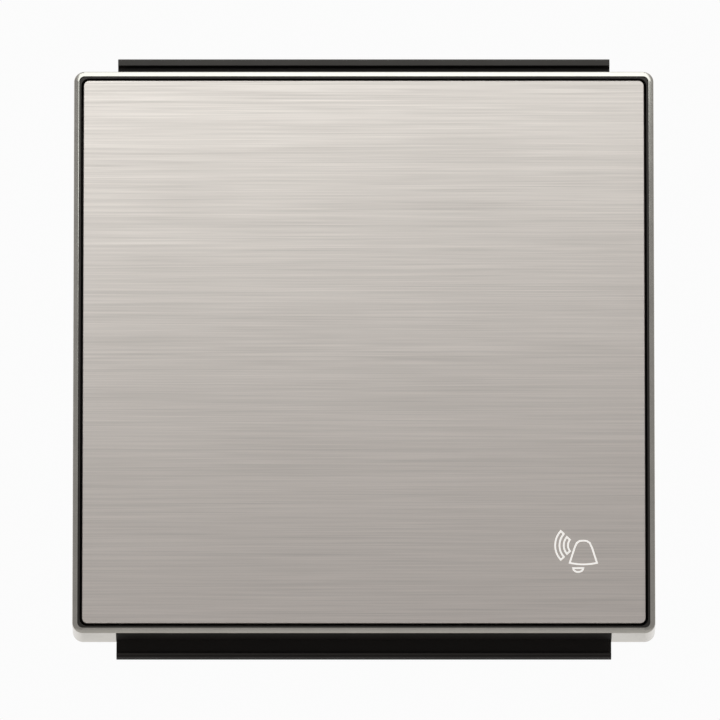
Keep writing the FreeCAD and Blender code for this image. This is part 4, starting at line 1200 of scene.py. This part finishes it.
@dataclass
class Studio:
    """Pale floor, soft light and the camera at the photograph's angle."""

    floor_drop: float = 3.2
    floor_size: float = 20.0
    floor_dark: Colour = (0.78, 0.78, 0.77)
    floor_light: Colour = (0.82, 0.82, 0.81)
    floor_clouds: Pattern = Pattern((0.8, 0.8, 0.8))
    floor_glow: float = 0.95
    backdrop: float = 0.97
    front_levels: Point = (0.36, 0.55)
    front_heights: Point = (0.35, 0.85)
    front_edge: float = 0.2
    lamp_place: Triple = (0.0, -0.11, 0.125)
    lamp_size: Point = (0.17, 0.15)
    lamp_level: float = 1.55
    lamp_roll: float = 10.0
    lamp_tint: Colour = (0.93, 1.0, 0.99)
    elevation: float = -15.1
    distance: float = 2.375
    lens: float = 1095.7
    sensor: float = 36.0
    far: float = 100.0
    shift: Point = (-0.0053, -0.0125)
    face_y: float = -0.010

    def floor(self) -> None:
        """Lay a large pale floor far below the part."""
        deselect()
        bpy.ops.mesh.primitive_plane_add(size=self.floor_size, location=(0.0, 0.0, -self.floor_drop))
        piece = bpy.context.object
        piece.name = "studio_floor"
        material = bpy.data.materials.new("pale_floor")
        material.use_nodes = True
        graph = Graph(material.node_tree)
        clouds = graph.noise(self.floor_clouds)
        tone = graph.ramp(clouds, [(0.3, self.floor_dark), (0.7, self.floor_light)])
        lit = graph.add("BsdfDiffuse", Color=tone)
        white = graph.add("Emission", Color=(1.0, 1.0, 1.0, 1.0), Strength=self.backdrop)
        mix = graph.add("MixShader", Fac=graph.math("MULTIPLY", graph.seen(), self.floor_glow))
        graph.feed(mix, 1, lit.outputs[0])
        graph.feed(mix, 2, white.outputs[0])
        graph.add("OutputMaterial", Surface=mix.outputs[0])
        piece.data.materials.append(material)

    def world(self) -> None:
        """White background, with the dimmer front of the studio in what the part reflects."""
        world = bpy.data.worlds.new("studio")
        bpy.context.scene.world = world
        world.use_nodes = True
        graph = Graph(world.node_tree)
        coordinates = graph.add("TexCoord")
        parts = graph.add("SeparateXYZ", Vector=coordinates.outputs["Generated"])
        front = graph.spread(parts.outputs["Y"], (1.0, 0.0), (-self.front_edge, self.front_edge))
        high = graph.spread(parts.outputs["Z"], self.front_levels, self.front_heights)
        dim = graph.math("MULTIPLY", front, graph.math("SUBTRACT", high, 1.0))
        level = graph.math("ADD", dim, 1.0)
        seen = graph.seen()
        backdrop = graph.math("MULTIPLY", seen, self.backdrop)
        studio = graph.math("MULTIPLY", level, graph.math("SUBTRACT", 1.0, seen))
        strength = graph.math("ADD", backdrop, studio)
        light = graph.add("Background", Color=(1.0, 1.0, 1.0, 1.0), Strength=strength)
        graph.add("OutputWorld", Surface=light.outputs[0])

    def lamp(self) -> None:
        """Hang a soft upright lamp above the part and in front of it."""
        deselect()
        bpy.ops.object.light_add(type="AREA", location=self.lamp_place)
        lamp = bpy.context.object
        lamp.name = "near_top_softbox"
        lamp.rotation_euler = Vector((0.0, 1.0, 0.0)).to_track_quat("-Z", "Y").to_euler()
        lamp.rotation_euler.rotate_axis("Z", math.radians(self.lamp_roll))
        width, height = self.lamp_size
        lamp.data.shape = "RECTANGLE"
        lamp.data.size, lamp.data.size_y = width, height
        lamp.data.energy = self.lamp_level * math.pi * width * height
        lamp.data.color = self.lamp_tint
        lamp.visible_camera = False

    def camera(self) -> None:
        """Set the camera at the photograph's angle, far off with a long lens."""
        deselect()
        target = Vector((0.0, self.face_y, 0.0))
        angle = math.radians(self.elevation)
        place = target + self.distance * Vector((0.0, -math.cos(angle), math.sin(angle)))
        bpy.ops.object.camera_add(location=place)
        camera = bpy.context.object
        camera.rotation_euler = (target - place).to_track_quat("-Z", "Y").to_euler()
        camera.data.lens = self.lens
        camera.data.sensor_width = self.sensor
        camera.data.shift_x, camera.data.shift_y = self.shift
        camera.data.clip_end = self.far
        bpy.context.scene.camera = camera

    def build(self) -> None:
        """Set up floor, light and camera."""
        bpy.context.scene.view_settings.view_transform = "Standard"
        self.floor()
        self.world()
        self.lamp()
        self.camera()
        LOG.info("studio ready")


CHANNEL_LOW = 0.03155
CHANNEL_HIGH = 0.0331
CHANNEL_BACK = -0.0070
DOWNWARD = -0.1


def painted_shade_on_rails(centre: Vector, normal: Vector) -> bool:
    """Whether a face of the cover frame lies in a rail's channel or on the lower rail's underside, where
    the darker black paints shade.
    """
    in_channel = CHANNEL_LOW < abs(centre.z) < CHANNEL_HIGH and centre.y < CHANNEL_BACK
    return in_channel or (centre.z < -CHANNEL_HIGH and normal.z < DOWNWARD)


SHELLS = (
    # A darker black paints shade in the cover frame's rail channels and under its lower rail.
    SmoothShell("cover_frame", Body.BASE, BLACK, edge=0.04, painted_shade_finish=SHADE_BLACK, painted_shade_on=painted_shade_on_rails),
    SmoothShell("rocker_body", Body.ROCKER, BLACK, edge=0.12),
    SmoothShell("cradle", Body.ROCKER, PALE, edge=0.12),
    SmoothShell("mounting_plate", Body.BASE, ZINC, edge=0.05),
    SmoothShell("insert_cover", Body.BASE, GREY, edge=0.12),
    SmoothShell("insert_housing", Body.BASE, GREY, edge=0.15),
    SmoothShell("plunger", Body.PLUNGER, PALE, edge=0.08),
    SmoothShell("contact_bridge", Body.BRIDGE, BRASS, edge=0.08),
    SmoothShell("bridge_tips", Body.BRIDGE, SILVER, edge=0.15, edge_steps=3),
    SmoothShell("strip_tips", Body.BASE, SILVER, edge=0.15, edge_steps=3),
    SmoothShell("contact_strip_left", Body.BASE, BRASS, edge=0.06),
    SmoothShell("contact_strip_right", Body.BASE, BRASS, edge=0.06),
    SmoothShell("terminal_cage_left", Body.BASE, PLATED, edge=0.25, edge_steps=3),
    SmoothShell("terminal_cage_right", Body.BASE, PLATED, edge=0.25, edge_steps=3),
    SmoothShell("pressure_plates", Body.BASE, PLATED, edge=0.1),
)

SPRINGS = (
    CoilSpring("return_spring", Body.BASE, "plunger_slide", coil=1.9, wire=0.225, turns=6.0,
               shortens=0.62, held_at_back=True),
    CoilSpring("bridge_spring", Body.PLUNGER, "bridge_slide", coil=1.1, wire=0.175, turns=5.0,
               shortens=0.16, held_at_back=False),
)

SCREWS = (
    ScrewSet("terminal_screws", Facing.UP, head=2.4, head_height=2.4, shank=1.5, pitch=0.5,
             slot_width=0.8, slot_depth=0.8),
    ScrewSet("cover_screws", Facing.FRONT, head=1.9, head_height=0.9, shank=1.0, pitch=0.4,
             slot_width=0.5, slot_depth=0.45),
)


def main() -> None:
    """Build the pieces that stand for the nodes, the sign and the marks, and set up the studio."""
    logging.basicConfig(level=logging.INFO, format="%(name)s: %(message)s")
    for part in (FaceTray(), TrimRing(), BellSign(), *SHELLS, *SPRINGS, *SCREWS, Lettering(), Studio()):
        part.build()


if __name__ == "__main__":
    main()
